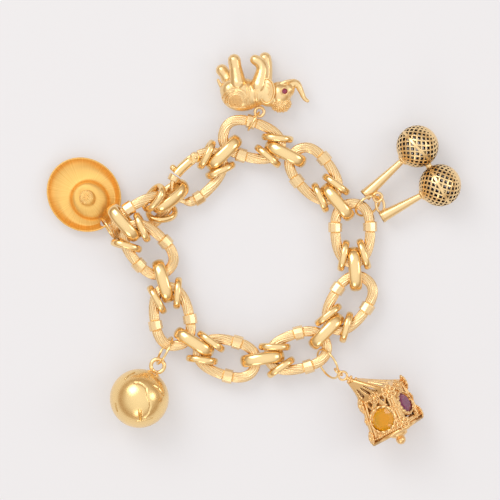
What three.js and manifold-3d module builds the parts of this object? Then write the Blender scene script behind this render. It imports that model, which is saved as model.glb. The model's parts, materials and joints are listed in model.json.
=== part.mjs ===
// Charm bracelet: ten fluted egg-shaped links of hollow gold tube, joined by groups of one thick
// and two slim polished rings, with a hinged clasp link and five charms on jump rings.
// Millimetres, +Z up. The bracelet lies on a table, closed in its loop, as seen from above.

import * as THREE from 'three';
import { mergeVertices } from 'three/addons/utils/BufferGeometryUtils.js';
import Module from 'manifold-3d';

const wasm = await Module();
wasm.setup();

// Driving dimensions of the chain
const tube = 3.1;              // diameter of a link's fluted tube
const linkLength = 20.7;       // a link's length over all
const linkWidth = 13.5;        // a link's width over all
const eggShare = 0.1;          // how much narrower the leading end of a link is
const endFullness = 2.4;       // how blunt its ends are
const collarDiameter = 3.8;    // polished faceted collar, across its corners
const collarLength = 3.2;
const collarBack = 1.8;        // collars sit behind the middle of the link
const ringPlay = 0.65;         // room over and under a tube inside a ring
const ringFullness = 2.3;      // how blunt a ring's ends are
const thickWire = 2.1;         // radial thickness of a thick ring
const thickBand = 3.7;         // its width, seen from above
const thickSlack = 3.0;        // room along the chain beyond two tubes
const slimWire = 1.7;          // radial thickness of a slim ring
const slimBand = 1.8;
const slimSlack = 3.2;         // room along the chain beyond one tube
const gap = 0.3;               // clear space between touching pieces
const beadSpacing = 0.6;       // of the beads that stand for a tube where pieces settle

// Driving dimensions of the clasp
const tongueDiameter = 1.5;    // plain bar that goes through the ring when the clasp is open
const gateFrom = 3.3;          // the gate's hinge, this far ahead of the link's middle
const gateTo = -4.3;           // its free end, where it meets the box collar
const pinDiameter = 0.9;
const hingeEye = 1.1;          // height of the gate's eye between the two ears
const thumbBall = 1.9;
const knuckleRadius = 1.5;
const knuckleReach = 1.95;     // from the hinge's middle to the knuckle's edge
const boxCollarDiameter = 3.6;

// Eyes of the charms, for their jump rings
const backLoop = new THREE.Vector3(2.85, 41.3, 4.4);
const backLoopRadius = 1.35;
const backLoopWire = 0.9;
const hatHoleRadius = 0.95;

// Levels and sizes that follow from the ones above
const ringInner = tube + 2 * ringPlay;
const thickHeight = ringInner + 2 * thickWire;
const thickLength = 2 * tube + thickSlack + 2 * thickWire;
const slimHeight = ringInner + 2 * slimWire;
const slimInner = tube + slimSlack;
const slimLength = slimInner + 2 * slimWire;
const chainLevel = thickHeight / 2;
const claspIndex = 9;          // the clasp is the last link of the route

// Facets of the chain
const linkSteps = 16;
const linkSides = 6;
const ringSteps = 12;
const slimSteps = 10;
const slimSides = 5;
const wireSteps = 12;
const wireSides = 5;

// The route of the chain: each link's middle, heading, roll about that heading, rise of its
// leading end, and lift
const chainRoute = [
  { x: 1.4, y: 33.6, heading: -19, roll: 0, rise: 0, lift: 0 },
  { x: 19.1, y: 22.5, heading: -51, roll: 0, rise: 0, lift: 0 },
  { x: 30.8, y: 5.0, heading: -90, roll: 0, rise: 0, lift: 0 },
  { x: 29.5, y: -16.6, heading: -125, roll: 0, rise: 0, lift: 0 },
  { x: 14.0, y: -29.9, heading: -166, roll: 0, rise: 0, lift: 0 },
  { x: -7.0, y: -32.2, heading: 166, roll: 0, rise: 0, lift: 0 },
  { x: -23.1, y: -20.3, heading: 98, roll: 0, rise: 0, lift: 0 },
  { x: -30.2, y: 0.0, heading: 135, roll: 0, rise: 3, lift: 0.3 },
  { x: -32.3, y: 11.2, heading: 25, roll: 50, rise: 0, lift: 1.3 },
  { x: -15.5, y: 22.4, heading: 42, roll: 0, rise: 0, lift: 0 },
];

// The ring group after each link, its thick ring and its two slim ones: x, y and heading of each,
// and its roll, rise and lift where it leans
const ringRoute = [
  { thick: [10.4, 29.3, -17], slimA: [7.8, 32.6, -26], slimB: [5.6, 28.4, -28] },
  { thick: [26.3, 15.0, -51], slimA: [25.5, 19.0, -53], slimB: [21.2, 16.9, -54] },
  { thick: [31.4, -5.1, -90], slimA: [34.0, -1.5, -89], slimB: [28.5, -1.7, -90] },
  { thick: [23.9, -24.1, -128], slimA: [28.9, -22.3, -121], slimB: [24.6, -19.5, -124] },
  { thick: [4.7, -33.2, -169], slimA: [9.0, -35.1, -156], slimB: [7.8, -30.4, -163] },
  { thick: [-16.5, -29.0, 158], slimA: [-13.6, -31.8, 163], slimB: [-12.0, -27.6, 160] },
  { thick: [-25.6, -10.2, 91], slimA: [-27.6, -14.8, 105], slimB: [-22.8, -13.9, 98] },
  {
    thick: [-38.4, 7.7, 142, 0, 26, 2.0],
    slimA: [-36.0, 1.8, 148, 5, 3, 0.5],
    slimB: [-33.0, 5.4, 139, 5, 3, 0.5],
  },
  {
    thick: [-25.0, 15.0, 28, 45, 0, 0.6],
    slimA: [-28.6, 15.6, 31, 50, 0, 3.4],
    slimB: [-27.6, 12.0, 16, 50, 0, -1],
  },
  { thick: [-8.6, 29.1, 46], slimA: [-12.4, 27.9, 39], slimB: [-9.8, 24.5, 30] },
];

const metal = (colour, roughness) => new THREE.MeshStandardMaterial({ color: colour, roughness, metalness: 1 });
const flutedGold = metal(0xe9c27a, 0.34);
const polishedGold = metal(0xf0c878, 0.12);
const charmGold = metal(0xe6b765, 0.28);
const hatGold = metal(0xdfa350, 0.42);
const stone = (colour) => new THREE.MeshStandardMaterial({
  color: colour, roughness: 0.05, metalness: 0, transparent: true, opacity: 0.35,
});
const citrineStone = stone(0xd9a520);
const amethystStone = stone(0x7a3fa0);
const rubyStone = stone(0x5a1030);

const group = new THREE.Group();
const radians = THREE.MathUtils.degToRad;
const vec = (x, y, z) => new THREE.Vector3(x, y, z);
const upward = vec(0, 0, 1);

function addMesh(name, geometry, material) {
  const mesh = new THREE.Mesh(geometry, material);
  mesh.name = name;
  group.add(mesh);
  return mesh;
}

// Booleans: closed geometries in, one closed geometry out
function asSolid(geometry) {
  const bare = geometry.clone();
  bare.deleteAttribute('normal');
  bare.deleteAttribute('uv');
  const merged = mergeVertices(bare, 1e-4);
  return new wasm.Manifold(new wasm.Mesh({
    numProp: 3,
    vertProperties: new Float32Array(merged.attributes.position.array),
    triVerts: new Uint32Array(merged.index.array),
  }));
}

function asGeometry(solid) {
  const mesh = solid.getMesh();
  const geometry = new THREE.BufferGeometry();
  geometry.setAttribute('position', new THREE.BufferAttribute(new Float32Array(mesh.vertProperties), 3));
  geometry.setIndex(new THREE.BufferAttribute(new Uint32Array(mesh.triVerts), 1));
  return geometry;
}

const joined = (solids) => solids.reduce((whole, next) => whole.add(next));
const cutBy = (solid, cutters) => cutters.reduce((rest, cutter) => rest.subtract(cutter), solid);

// A skin of rings of points, closed round the loop or capped at both ends, with its faces outward
function skin(rings, closed) {
  const sides = rings[0].length;
  const points = rings.flat();
  const faces = [];
  const last = closed ? rings.length : rings.length - 1;
  for (let i = 0; i < last; i++) {
    const here = i * sides;
    const next = ((i + 1) % rings.length) * sides;
    for (let j = 0; j < sides; j++) {
      const k = (j + 1) % sides;
      faces.push(here + j, next + j, next + k, here + j, next + k, here + k);
    }
  }
  if (!closed) {
    const end = (rings.length - 1) * sides;
    for (let j = 1; j < sides - 1; j++) faces.push(0, j, j + 1, end, end + j + 1, end + j);
  }
  const volume = faces.reduce((sum, _, f) => (f % 3 ? sum : sum
    + points[faces[f]].dot(vec(0, 0, 0).crossVectors(points[faces[f + 1]], points[faces[f + 2]]))), 0);
  if (volume < 0) faces.reverse();
  const geometry = new THREE.BufferGeometry();
  const places = points.flatMap((p) => [p.x, p.y, p.z]);
  geometry.setAttribute('position', new THREE.Float32BufferAttribute(places, 3));
  geometry.setIndex(faces);
  return geometry;
}

// A tube swept along a flat curve in the XY plane. A station has its place u on the curve and
// half its size across the curve and half its height.
function sweep(curve, stations, sides, closed) {
  const rings = stations.map(({ u, across, high }) => {
    const centre = curve(u);
    const ahead = curve(u + 0.001).sub(curve(u - 0.001)).normalize();
    const outward = vec(ahead.y, -ahead.x, 0);
    return Array.from({ length: sides }, (_, j) => {
      const angle = ((j + 0.5) / sides) * 2 * Math.PI;
      return centre.clone()
        .addScaledVector(outward, across * Math.cos(angle))
        .addScaledVector(upward, high * Math.sin(angle));
    });
  });
  return skin(rings, closed);
}

// The same tube as a string of beads, for finding where it touches another. A wide band takes
// three strings side by side.
function beadsAlong(curve, stations) {
  const beads = [];
  stations.forEach((from, i) => {
    const to = stations[(i + 1) % stations.length];
    const start = curve(from.u);
    const end = curve(to.u);
    const count = Math.max(1, Math.ceil(start.distanceTo(end) / beadSpacing));
    const radius = Math.max(from.across, to.across);
    const spare = Math.max(from.high, to.high) - radius;
    const levels = spare > 0.05 ? [-spare, 0, spare] : [0];
    for (let k = 0; k < count; k++) {
      const at = start.clone().lerp(end, k / count);
      levels.forEach((level) => beads.push({ at: at.clone().setZ(level), radius }));
    }
  });
  return beads;
}

// A round bar through a few points in space, with its own radius at each of them
function bar(points, radii, sides) {
  const curve = new THREE.CatmullRomCurve3(points);
  const frames = curve.computeFrenetFrames(points.length - 1, false);
  const rings = points.map((point, i) => Array.from({ length: sides }, (_, j) => {
    const angle = ((j + 0.5) / sides) * 2 * Math.PI;
    return point.clone()
      .addScaledVector(frames.normals[i], radii[i] * Math.cos(angle))
      .addScaledVector(frames.binormals[i], radii[i] * Math.sin(angle));
  }));
  return skin(rings, false);
}

// The egg-shaped centreline of a link: it leads along +X, and u is an angle. A fullness of 2 is an
// ellipse, and a higher one has blunter ends.
function eggCurve(length, width, egg, fullness) {
  const eased = (share) => Math.sign(share) * Math.abs(share) ** (2 / fullness);
  return (u) => vec(
    (length / 2) * eased(Math.cos(u)),
    (width / 2) * eased(Math.sin(u)) * (1 - egg * Math.cos(u)),
    0,
  );
}

const linkCurve = eggCurve(linkLength - tube, linkWidth - tube, eggShare, endFullness);

// The angle at which the link's centreline passes a distance x ahead of its middle
const angleAt = (x) => {
  const share = x / ((linkLength - tube) / 2);
  return Math.acos(Math.sign(share) * Math.abs(share) ** (endFullness / 2));
};

// How far the angle goes for a millimetre of the centreline
const anglePerLength = (u) => 0.001 / linkCurve(u + 0.001).distanceTo(linkCurve(u));

const plainStation = (u, diameter = tube) => ({ u, across: diameter / 2, high: diameter / 2 });

// Stations of a collar round the angle u: a step up, the polished length and a step down
function collarStations(u) {
  const half = (collarLength / 2) * anglePerLength(u);
  const edge = 0.12 * anglePerLength(u);
  return [
    plainStation(u - half - edge),
    plainStation(u - half, collarDiameter),
    plainStation(u + half, collarDiameter),
    plainStation(u + half + edge),
  ];
}

function stationsAround(collars, from, to) {
  const stations = collars.flatMap((u) => collarStations(u));
  const step = (2 * Math.PI) / linkSteps;
  for (let u = from; u < to - step / 2; u += step) {
    const clear = collars.every((c) => Math.abs(c - u) > (collarLength / 2 + 0.7) * anglePerLength(c));
    if (clear) stations.push(plainStation(u));
  }
  return stations.sort((a, b) => a.u - b.u);
}

const firstCollar = angleAt(-collarBack);
const linkStations = stationsAround([firstCollar, 2 * Math.PI - firstCollar], 0, 2 * Math.PI);
const linkShape = {
  geometry: sweep(linkCurve, linkStations, linkSides, true),
  beads: beadsAlong(linkCurve, linkStations),
  material: flutedGold,
};

// A ring of the ring groups, standing on edge: its length along X, its height along Z
function standingRing(length, height, wire, band, steps, sides, fullness = ringFullness) {
  const curve = eggCurve(length - wire, height - wire, 0, fullness);
  const stations = Array.from({ length: steps }, (_, i) => (
    { u: ((i + 0.5) / steps) * 2 * Math.PI, across: wire / 2, high: band / 2 }
  ));
  const beads = beadsAlong(curve, stations);
  beads.forEach((bead) => bead.at.applyAxisAngle(vec(1, 0, 0), Math.PI / 2));
  return { geometry: sweep(curve, stations, sides, true).rotateX(Math.PI / 2), beads, material: polishedGold };
}

const thickShape = standingRing(thickLength, thickHeight, thickWire, thickBand, ringSteps, linkSides);
const slimShape = standingRing(slimLength, slimHeight, slimWire, slimBand, slimSteps, slimSides);

// A piece of the chain: where it lies at first, and how easily it gives way
function piece(name, shape, at, heading, roll, rise, ease) {
  const euler = new THREE.Euler(radians(roll), radians(-rise), radians(heading), 'ZYX');
  const size = Math.max(...shape.beads.map((bead) => bead.at.length() + bead.radius));
  return { name, shape, at, turn: new THREE.Quaternion().setFromEuler(euler), size, ease };
}

const hinge = linkCurve(angleAt(gateFrom));
const claspShape = { ...linkShape, beads: [...linkShape.beads, { at: hinge, radius: knuckleReach }] };
const chain = chainRoute.map(({ x, y, heading, roll, rise, lift }, i) => (
  i === claspIndex ? piece('clasp', claspShape, vec(x, y, chainLevel + lift), heading, roll, rise, 0.3)
    : piece(`reeded_link_${i + 1}`, linkShape, vec(x, y, chainLevel + lift), heading, roll, rise, 0.3)
));
ringRoute.forEach((route, i) => {
  const add = (name, shape, [x, y, heading, roll = 0, rise = 0, lift = 0]) => (
    chain.push(piece(name, shape, vec(x, y, chainLevel + lift), heading, roll, rise, 1))
  );
  add(`thick_ring_${i + 1}`, thickShape, route.thick);
  add(`slim_ring_${i + 1}_a`, slimShape, route.slimA);
  add(`slim_ring_${i + 1}_b`, slimShape, route.slimB);
});

const floorFirmness = 4;       // how much more the table resists than a piece does
const settleStep = 1.3;        // how far a piece moves for the mean of its touches
const settledDepth = 0.08;     // pieces less deep in each other's gap than this are settled
const settleRounds = 300;

// Settling: pieces that press into each other or into the table give way until all are clear
function settle(items, rounds) {
  const carry = (item) => {
    item.beads = item.shape.beads.map(({ at, radius }) => (
      { at: at.clone().applyQuaternion(item.turn).add(item.at), radius }
    ));
  };
  const push = (item, point, by) => {
    item.shift.add(by);
    item.twist.add(point.clone().sub(item.at).cross(by).multiplyScalar(2 / item.size ** 2));
    item.touches += 1;
  };
  items.forEach(carry);
  const pairs = items.flatMap((a, i) => items.slice(i + 1).map((b) => [a, b]))
    .filter(([a, b]) => a.ease + b.ease > 0 && a.at.distanceTo(b.at) < a.size + b.size);
  for (let round = 0; round < rounds; round++) {
    let deepest = 0;
    items.forEach((item) => Object.assign(item, { shift: vec(0, 0, 0), twist: vec(0, 0, 0), touches: 0 }));
    pairs.forEach(([a, b]) => {
      a.beads.forEach((p) => b.beads.forEach((q) => {
        const reach = p.radius + q.radius + gap;
        const square = p.at.distanceToSquared(q.at);
        if (square >= reach * reach) return;
        const apart = Math.sqrt(square);
        deepest = Math.max(deepest, reach - apart);
        const by = p.at.clone().sub(q.at).multiplyScalar((reach - apart) / apart / (a.ease + b.ease));
        push(a, p.at, by.clone().multiplyScalar(a.ease));
        push(b, q.at, by.multiplyScalar(-b.ease));
      }));
    });
    items.forEach((item) => {
      item.beads.filter(({ at, radius }) => at.z < radius)
        .forEach(({ at, radius }) => push(item, at, vec(0, 0, floorFirmness * (radius - at.z))));
      if (!item.touches || !item.ease) return;
      item.at.addScaledVector(item.shift, settleStep / item.touches);
      const angle = (item.twist.length() * settleStep) / item.touches;
      item.turn.premultiply(new THREE.Quaternion().setFromAxisAngle(item.twist.normalize(), angle));
      carry(item);
    });
    if (deepest < settledDepth) break;
  }
}

settle(chain, settleRounds);

const clasp = chain[claspIndex];
chain.filter((item) => item !== clasp).forEach((item) => {
  const mesh = addMesh(item.name, item.shape.geometry, item.shape.material);
  mesh.position.copy(item.at);
  mesh.quaternion.copy(item.turn);
});

// Solids of the clasp and the charms

const moved = (geometry, x, y, z) => asSolid(geometry.translate(x, y, z));
const upright = (radius, height, sides = 12) => (
  new THREE.CylinderGeometry(radius, radius, height, sides).rotateX(Math.PI / 2)
);
const ellipsoid = (rx, ry, rz, around = 12, rows = 8) => (
  new THREE.SphereGeometry(1, around, rows).scale(rx, ry, rz)
);
const loop = (radius, wire, around = 12, sides = 6) => new THREE.TorusGeometry(radius, wire / 2, sides, around);

// A geometry built along +Z, turned to point along a direction
function pointed(geometry, direction) {
  const turn = new THREE.Quaternion().setFromUnitVectors(upward, direction.clone().normalize());
  return geometry.applyQuaternion(turn);
}

const rod = (from, to, radiusFrom, radiusTo, sides = 8) => {
  const along = to.clone().sub(from);
  const geometry = new THREE.CylinderGeometry(radiusTo, radiusFrom, along.length(), sides).rotateX(Math.PI / 2);
  const middle = from.clone().add(to).multiplyScalar(0.5);
  return moved(pointed(geometry, along), middle.x, middle.y, middle.z);
};

// The clasp link: its body runs from a box collar round the trailing end to the hinge, and its
// gate closes the far side

const hingeAngle = angleAt(gateFrom);
const latchAngle = angleAt(gateTo);
const claspSides = 6;

const bodyStations = [
  [radians(2) + latchAngle, boxCollarDiameter], [latchAngle + radians(13), boxCollarDiameter],
  [latchAngle + radians(14), tongueDiameter], [radians(150), tongueDiameter], [radians(168), tongueDiameter],
  [radians(186), tongueDiameter], [radians(205), tongueDiameter], [radians(215), tube * 0.75],
  [radians(224), tube], [radians(236), tube],
  [radians(236.5), collarDiameter], [radians(253.5), collarDiameter],
  [radians(254), tube], [radians(275), tube], [radians(300), tube], [radians(325), tube],
  [radians(345), tube], [radians(363), tube], [radians(381), tube], [radians(396), tube],
  [radians(409), tube], [2 * Math.PI + hingeAngle, tube],
].map(([u, diameter]) => plainStation(u, diameter));
const gateStations = [0, 0.25, 0.5, 0.75, 1]
  .map((share) => plainStation(THREE.MathUtils.lerp(hingeAngle, latchAngle, share)));

const atHinge = (radius, height, sides = 16) => moved(upright(radius, height, sides), hinge.x, hinge.y, 0);
const claspBody = joined([
  cutBy(
    joined([asSolid(sweep(linkCurve, bodyStations, claspSides, false)), atHinge(knuckleRadius, 0.76 * tube)]),
    [atHinge(knuckleRadius + gap, hingeEye + 2 * gap)],
  ),
  atHinge(pinDiameter / 2, 0.7 * tube, 8),
]);
const gateTube = asSolid(sweep(linkCurve, gateStations, claspSides, false));
const slab = moved(new THREE.BoxGeometry(30, 30, hingeEye), 0, 0, 0);
const gateThumb = linkCurve(THREE.MathUtils.lerp(hingeAngle, latchAngle, 0.9));
const claspGate = cutBy(
  joined([
    cutBy(gateTube, [atHinge(knuckleRadius + gap, 2 * tube)]),
    gateTube.intersect(slab),
    atHinge(knuckleRadius, hingeEye),
    moved(
      ellipsoid(thumbBall / 2, thumbBall / 2, thumbBall / 2, 8, 6),
      gateThumb.x, gateThumb.y + tube / 2 + thumbBall * 0.3, 0,
    ),
  ]),
  [atHinge(pinDiameter / 2 + gap, 2 * tube, 12)],
);
[['clasp_link', claspBody], ['clasp_gate', claspGate]].forEach(([name, solid]) => {
  const mesh = addMesh(name, asGeometry(solid), flutedGold);
  mesh.position.copy(clasp.at);
  mesh.quaternion.copy(clasp.turn);
});

// The elephant lies on its side with its back to the bracelet

const elephantAt = vec(-2.4, 46.45, 4.3);
const elephantBody = ellipsoid(6.3, 5, 4, 12, 8);
const limb = (points, radii) => asSolid(bar(points.map(([x, y, z]) => vec(x, y, z)), radii, 5));
const blanket = asSolid(elephantBody.clone().scale(1.07, 1.07, 1.07))
  .intersect(moved(new THREE.BoxGeometry(9.6, 8.6, 12), -0.7, -1.9, 0));
const elephant = joined([
  asSolid(elephantBody),
  blanket,
  limb([[-1.2, 3.4, 2], [-1.9, 8, 2.1], [-2.3, 11, 2.2]], [2.3, 1.6, 1.5]),
  limb([[-3.4, 3, -2], [-4.9, 6, -2], [-6.2, 7.8, -2]], [2.2, 1.6, 1.4]),
  limb([[5, 2.6, 2], [6.1, 7, 2.1], [5.6, 9.4, 2.1], [3.6, 10.6, 2]], [2.3, 1.6, 1.4, 1.2]),
  limb([[6.6, 3, -2], [7.3, 8, -2], [6.8, 12, -2]], [2.2, 1.6, 1.4]),
  moved(ellipsoid(3.4, 3.6, 3.3, 10, 7), 11.7, 0.5, 0),
  moved(ellipsoid(4.2, 3.6, 3, 8, 6), 8.4, -0.2, 0),
  moved(ellipsoid(2.1, 3.9, 0.7, 10, 4).rotateX(-0.12), 7.5, 1, 3.2),
  moved(ellipsoid(2.1, 3.9, 0.7, 10, 4).rotateX(0.12), 7.5, 1, -3.2),
  moved(ellipsoid(3.2, 2.8, 2.8, 10, 6), 11.8, -2.6, 0),
  limb(
    [[12.6, 2, 0], [14.6, 3, 0], [16.4, 3.4, 0], [17.6, 1.2, 0], [18.7, -1.2, 0], [19.9, -1.9, 0]],
    [1.9, 1.4, 1.1, 0.85, 0.65, 0.5],
  ),
  limb([[10.5, 2.6, 1.6], [13.2, 3.9, 1.9], [16, 4.65, 1.6]], [0.6, 0.5, 0.15]),
  limb([[10.5, 2.6, -1.6], [13.2, 3.9, -1.9], [16, 4.65, -1.6]], [0.6, 0.5, 0.15]),
  limb([[-4.8, 1, 0], [-6.3, 2.6, 0], [-7.2, 4.4, 0]], [0.8, 0.6, 0.4]),
  moved(loop(backLoopRadius, backLoopWire), ...backLoop.clone().sub(elephantAt)),
  moved(upright(1.35, 0.9, 10), 12.7, 0.9, 3.1),
]);
const eyeHole = moved(upright(0.95, 0.9, 10), 12.7, 0.9, 3.45);
const elephantMesh = addMesh('elephant', asGeometry(cutBy(elephant, [eyeHole])), charmGold);
elephantMesh.position.copy(elephantAt);

// A cut stone facing +Z: a table, a crown, a girdle and a pavilion
function cutStone(rx, ry, height, facets) {
  const profile = [[0, -0.55], [0.45, -0.4], [1, 0], [1, 0.08], [0.62, 0.45], [0, 0.45]]
    .map(([r, z]) => new THREE.Vector2(r, z));
  return new THREE.LatheGeometry(profile, facets).rotateX(Math.PI / 2).scale(rx, ry, height);
}

const elephantEye = addMesh('elephant_eye', asGeometry(asSolid(cutStone(0.75, 0.75, 0.5, 8))), rubyStone);
elephantEye.position.copy(elephantAt).add(vec(12.7, 0.9, 3.5));

// The hat: a closed turned shell, hollow under its crown, which stands off the middle of the brim

const hatProfile = [
  [0, 7], [1.6, 6.9], [2.3, 6.4], [2.6, 5.7], [4.6, 5.3], [5.6, 4.3], [5.9, 2.4], [6.6, 1.5], [9, 1.1],
  [10.4, 2.1], [11.3, 3.2], [11.7, 2.8], [11.5, 1.9], [10.5, 0.8], [9.2, 0],
  [6.4, 0.4], [5.1, 1.6], [4.8, 3.8], [3.4, 4.6], [0, 4.8],
].map(([r, z]) => new THREE.Vector2(r, z)).reverse();
const hatShell = new THREE.LatheGeometry(hatProfile, 15).rotateX(Math.PI / 2)
  .scale(1, 0.906, 1).rotateZ(radians(-45));
const hatPoints = hatShell.attributes.position;
for (let i = 0; i < hatPoints.count; i++) {
  const [x, y, z] = [hatPoints.getX(i), hatPoints.getY(i), hatPoints.getZ(i)];
  const inward = 1 - THREE.MathUtils.smoothstep(Math.hypot(x, y), 6.2, 10.6);
  const lean = inward * (1 - 0.55 * THREE.MathUtils.smoothstep(z, 4, 7));
  hatPoints.setXY(i, x + 1.8 * lean, y - 1.65 * lean);
}
const hatAt = vec(-49.6, 16.7, 0);
const hatHole = vec(5.75, -8.5, 1.9);
const brimThickness = 1.3;
const hat = addMesh('hat', asGeometry(cutBy(asSolid(hatShell), [
  moved(upright(hatHoleRadius, 6, 10), hatHole.x, hatHole.y, hatHole.z),
])), hatGold);
hat.position.copy(hatAt);

// The maracas: two pierced balls soldered together, each on its hollow tapered handle

const maracaRadius = 6.3;
const maracaWall = 0.8;
const maracaEyeWire = 0.8;
const maracas = [
  { ball: vec(50.04, 30.96, maracaRadius), end: vec(34.7, 16.6, 4.6) },
  { ball: vec(56.76, 19.35, maracaRadius), end: vec(39.6, 10, 4.6) },
];
const pierceRows = [
  { latitude: 27, holes: 7 }, { latitude: 58, holes: 3 },
  { latitude: -27, holes: 7 }, { latitude: -58, holes: 3 },
];

function pierceCutters(ball, axis) {
  const turn = new THREE.Quaternion().setFromUnitVectors(upward, axis);
  return pierceRows.flatMap(({ latitude, holes }) => Array.from({ length: holes }, (_, k) => {
    const around = ((k + (Math.abs(latitude) > 40 ? 0.5 : 0)) / holes) * 2 * Math.PI;
    const out = vec(
      Math.cos(radians(latitude)) * Math.cos(around),
      Math.cos(radians(latitude)) * Math.sin(around),
      Math.sin(radians(latitude)),
    ).applyQuaternion(turn);
    const middle = ball.clone().addScaledVector(out, maracaRadius - maracaWall / 2);
    const diamond = new THREE.CylinderGeometry(1.25, 1.25, 2.4, 4).rotateX(Math.PI / 2);
    return moved(pointed(diamond, out), ...middle);
  }));
}

const maracaSolids = maracas.map(({ ball, end }) => {
  const axis = end.clone().sub(ball).normalize();
  const ballShape = (radius, around, rows) => {
    const whole = new THREE.SphereGeometry(radius, around, rows).rotateX(Math.PI / 2);
    return moved(pointed(whole, axis), ...ball);
  };
  const hollow = ballShape(maracaRadius - maracaWall, 8, 5);
  const shell = cutBy(ballShape(maracaRadius, 12, 7), [hollow, ...pierceCutters(ball, axis)]);
  const from = ball.clone().addScaledVector(axis, maracaRadius - 0.5);
  const past = end.clone().addScaledVector(axis, 0.5);
  const bore = end.clone().addScaledVector(axis, -7);
  return cutBy(joined([shell, rod(from, end, 0.95, 1.8, 10)]), [rod(bore, past, 0.9, 1.5, 8)]);
});
const between = maracas[1].ball.clone().sub(maracas[0].ball).normalize();
const maracaEyes = [
  { at: vec(38.2, 15.8, 5.4), length: 3.4, width: 3.4, turn: 0 },
  { at: vec(38.9, 13.6, 3.9), length: 5.6, width: 3.2, turn: 100 },
];
const flatLoop = ({ at, length, width, turn }, wire) => {
  const flat = standingRing(length, width, wire, wire, 12, 6, 2).geometry.rotateX(-Math.PI / 2);
  return moved(flat.rotateZ(radians(turn)), ...at);
};
addMesh('maracas', asGeometry(joined([
  ...maracaSolids,
  rod(
    maracas[0].ball.clone().addScaledVector(between, maracaRadius - 0.4),
    maracas[1].ball.clone().addScaledVector(between, 0.4 - maracaRadius), 1.1, 1.1, 8,
  ),
  ...maracaEyes.map((eye) => flatLoop(eye, maracaEyeWire)),
])), charmGold);

// The ball: hollow, with a slit, a cap and an eye

const ballRadius = 8.8;
const ballWall = 1.1;
const ballEyeRadius = 2;
const ballEyeWire = 1.2;
const ballAt = vec(-33, -44.25, ballRadius);
const ballEye = vec(-27.6, -34.6, 6.2);
const ballAxis = ballEye.clone().sub(ballAt).normalize();
const slitAt = vec(0.41, -5.12, 7.14);
const alongAxis = (reach) => ballAxis.clone().multiplyScalar(reach);
const ballSolid = joined([
  cutBy(moved(new THREE.SphereGeometry(ballRadius, 16, 11), 0, 0, 0), [
    moved(new THREE.SphereGeometry(ballRadius - ballWall, 10, 7), 0, 0, 0),
    moved(pointed(new THREE.BoxGeometry(0.8, 3.2, 3), slitAt), ...slitAt),
  ]),
  rod(alongAxis(ballRadius - 0.6), alongAxis(ballRadius + 0.7), 1.8, 1.3, 10),
  moved(loop(ballEyeRadius, ballEyeWire), ...ballEye.clone().sub(ballAt)),
]);
const ball = addMesh('ball', asGeometry(ballSolid), polishedGold);
ball.position.copy(ballAt);

// The gem cage: a square house with a leaning roof, seen on two of its sides

const cageAcross = vec(0.87, 0.49, 0);
const cageRoll = radians(16);
const cageLevel = 8.9;
const finialEye = vec(27.7, -37.5, cageLevel);
const finialEyeRadius = 1.25;
const finialEyeWire = 0.7;
const cageSection = (x, y, reach) => [0, 1, 2, 3].map((k) => {
  const angle = Math.PI / 2 - cageRoll + (k * Math.PI) / 2;
  return vec(x, y, cageLevel)
    .addScaledVector(cageAcross, reach * Math.cos(angle))
    .addScaledVector(upward, reach * Math.sin(angle));
});
const cageSolid = (sections) => asSolid(skin(sections.map(([x, y, reach]) => cageSection(x, y, reach)), false));
const eaves = cageSection(39.4, -42.7, 7.2);
const base = cageSection(43.6, -52.6, 8.2);
const roofTop = vec(30.6, -39.2, cageLevel);

// A cutter through one side: its corners are shares across and along the panel
function panelCutter(corners, outline, depth) {
  const [a, b, c, d] = corners;
  const middle = a.clone().add(b).add(c).add(d).multiplyScalar(0.25);
  const normal = b.clone().sub(a).cross(d.clone().sub(a)).normalize();
  if (normal.dot(middle.clone().sub(vec(41.5, -47.5, cageLevel))) < 0) normal.negate();
  const at = ([s, t]) => a.clone().lerp(b, s).lerp(d.clone().lerp(c, s), t);
  const face = (shift) => outline.map((point) => at(point).addScaledVector(normal, shift));
  return { normal, at, solid: asSolid(skin([-depth, depth].map(face), false)) };
}

const around4 = (list, k) => list[k % 4];
const windowOutline = [[0.16, 0.1], [0.84, 0.1], [0.84, 0.9], [0.16, 0.9]];
const slotOutline = [[0.38, 0.35], [0.62, 0.35], [0.62, 0.85], [0.38, 0.85]];
const sides4 = [0, 1, 2, 3];
const windows = sides4.map((k) => {
  const corners = [eaves[k], around4(eaves, k + 1), around4(base, k + 1), base[k]];
  return panelCutter(corners, windowOutline, 2.2);
});
const slots = sides4.map((k) => {
  const corners = [roofTop, roofTop, around4(eaves, k + 1), eaves[k]];
  return panelCutter(corners, slotOutline, 1.5);
});
const cageStones = [
  { name: 'citrine', side: 0, spot: [0.5, 0.63], rx: 4, ry: 3.5, material: citrineStone },
  { name: 'amethyst', side: 3, spot: [0.5, 0.52], rx: 3.6, ry: 3.1, material: amethystStone },
  { name: 'stone_below_1', side: 1, spot: [0.5, 0.56], rx: 3.6, ry: 3.1, material: amethystStone },
  { name: 'stone_below_2', side: 2, spot: [0.5, 0.56], rx: 3.6, ry: 3.1, material: citrineStone },
];

// The frame of a panel: X across it, Z outward
function panelTurn({ normal, at }) {
  const across = at([1, 0.5]).sub(at([0, 0.5])).normalize();
  const along = normal.clone().cross(across).normalize();
  return new THREE.Matrix4().makeBasis(across, along, normal);
}

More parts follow.
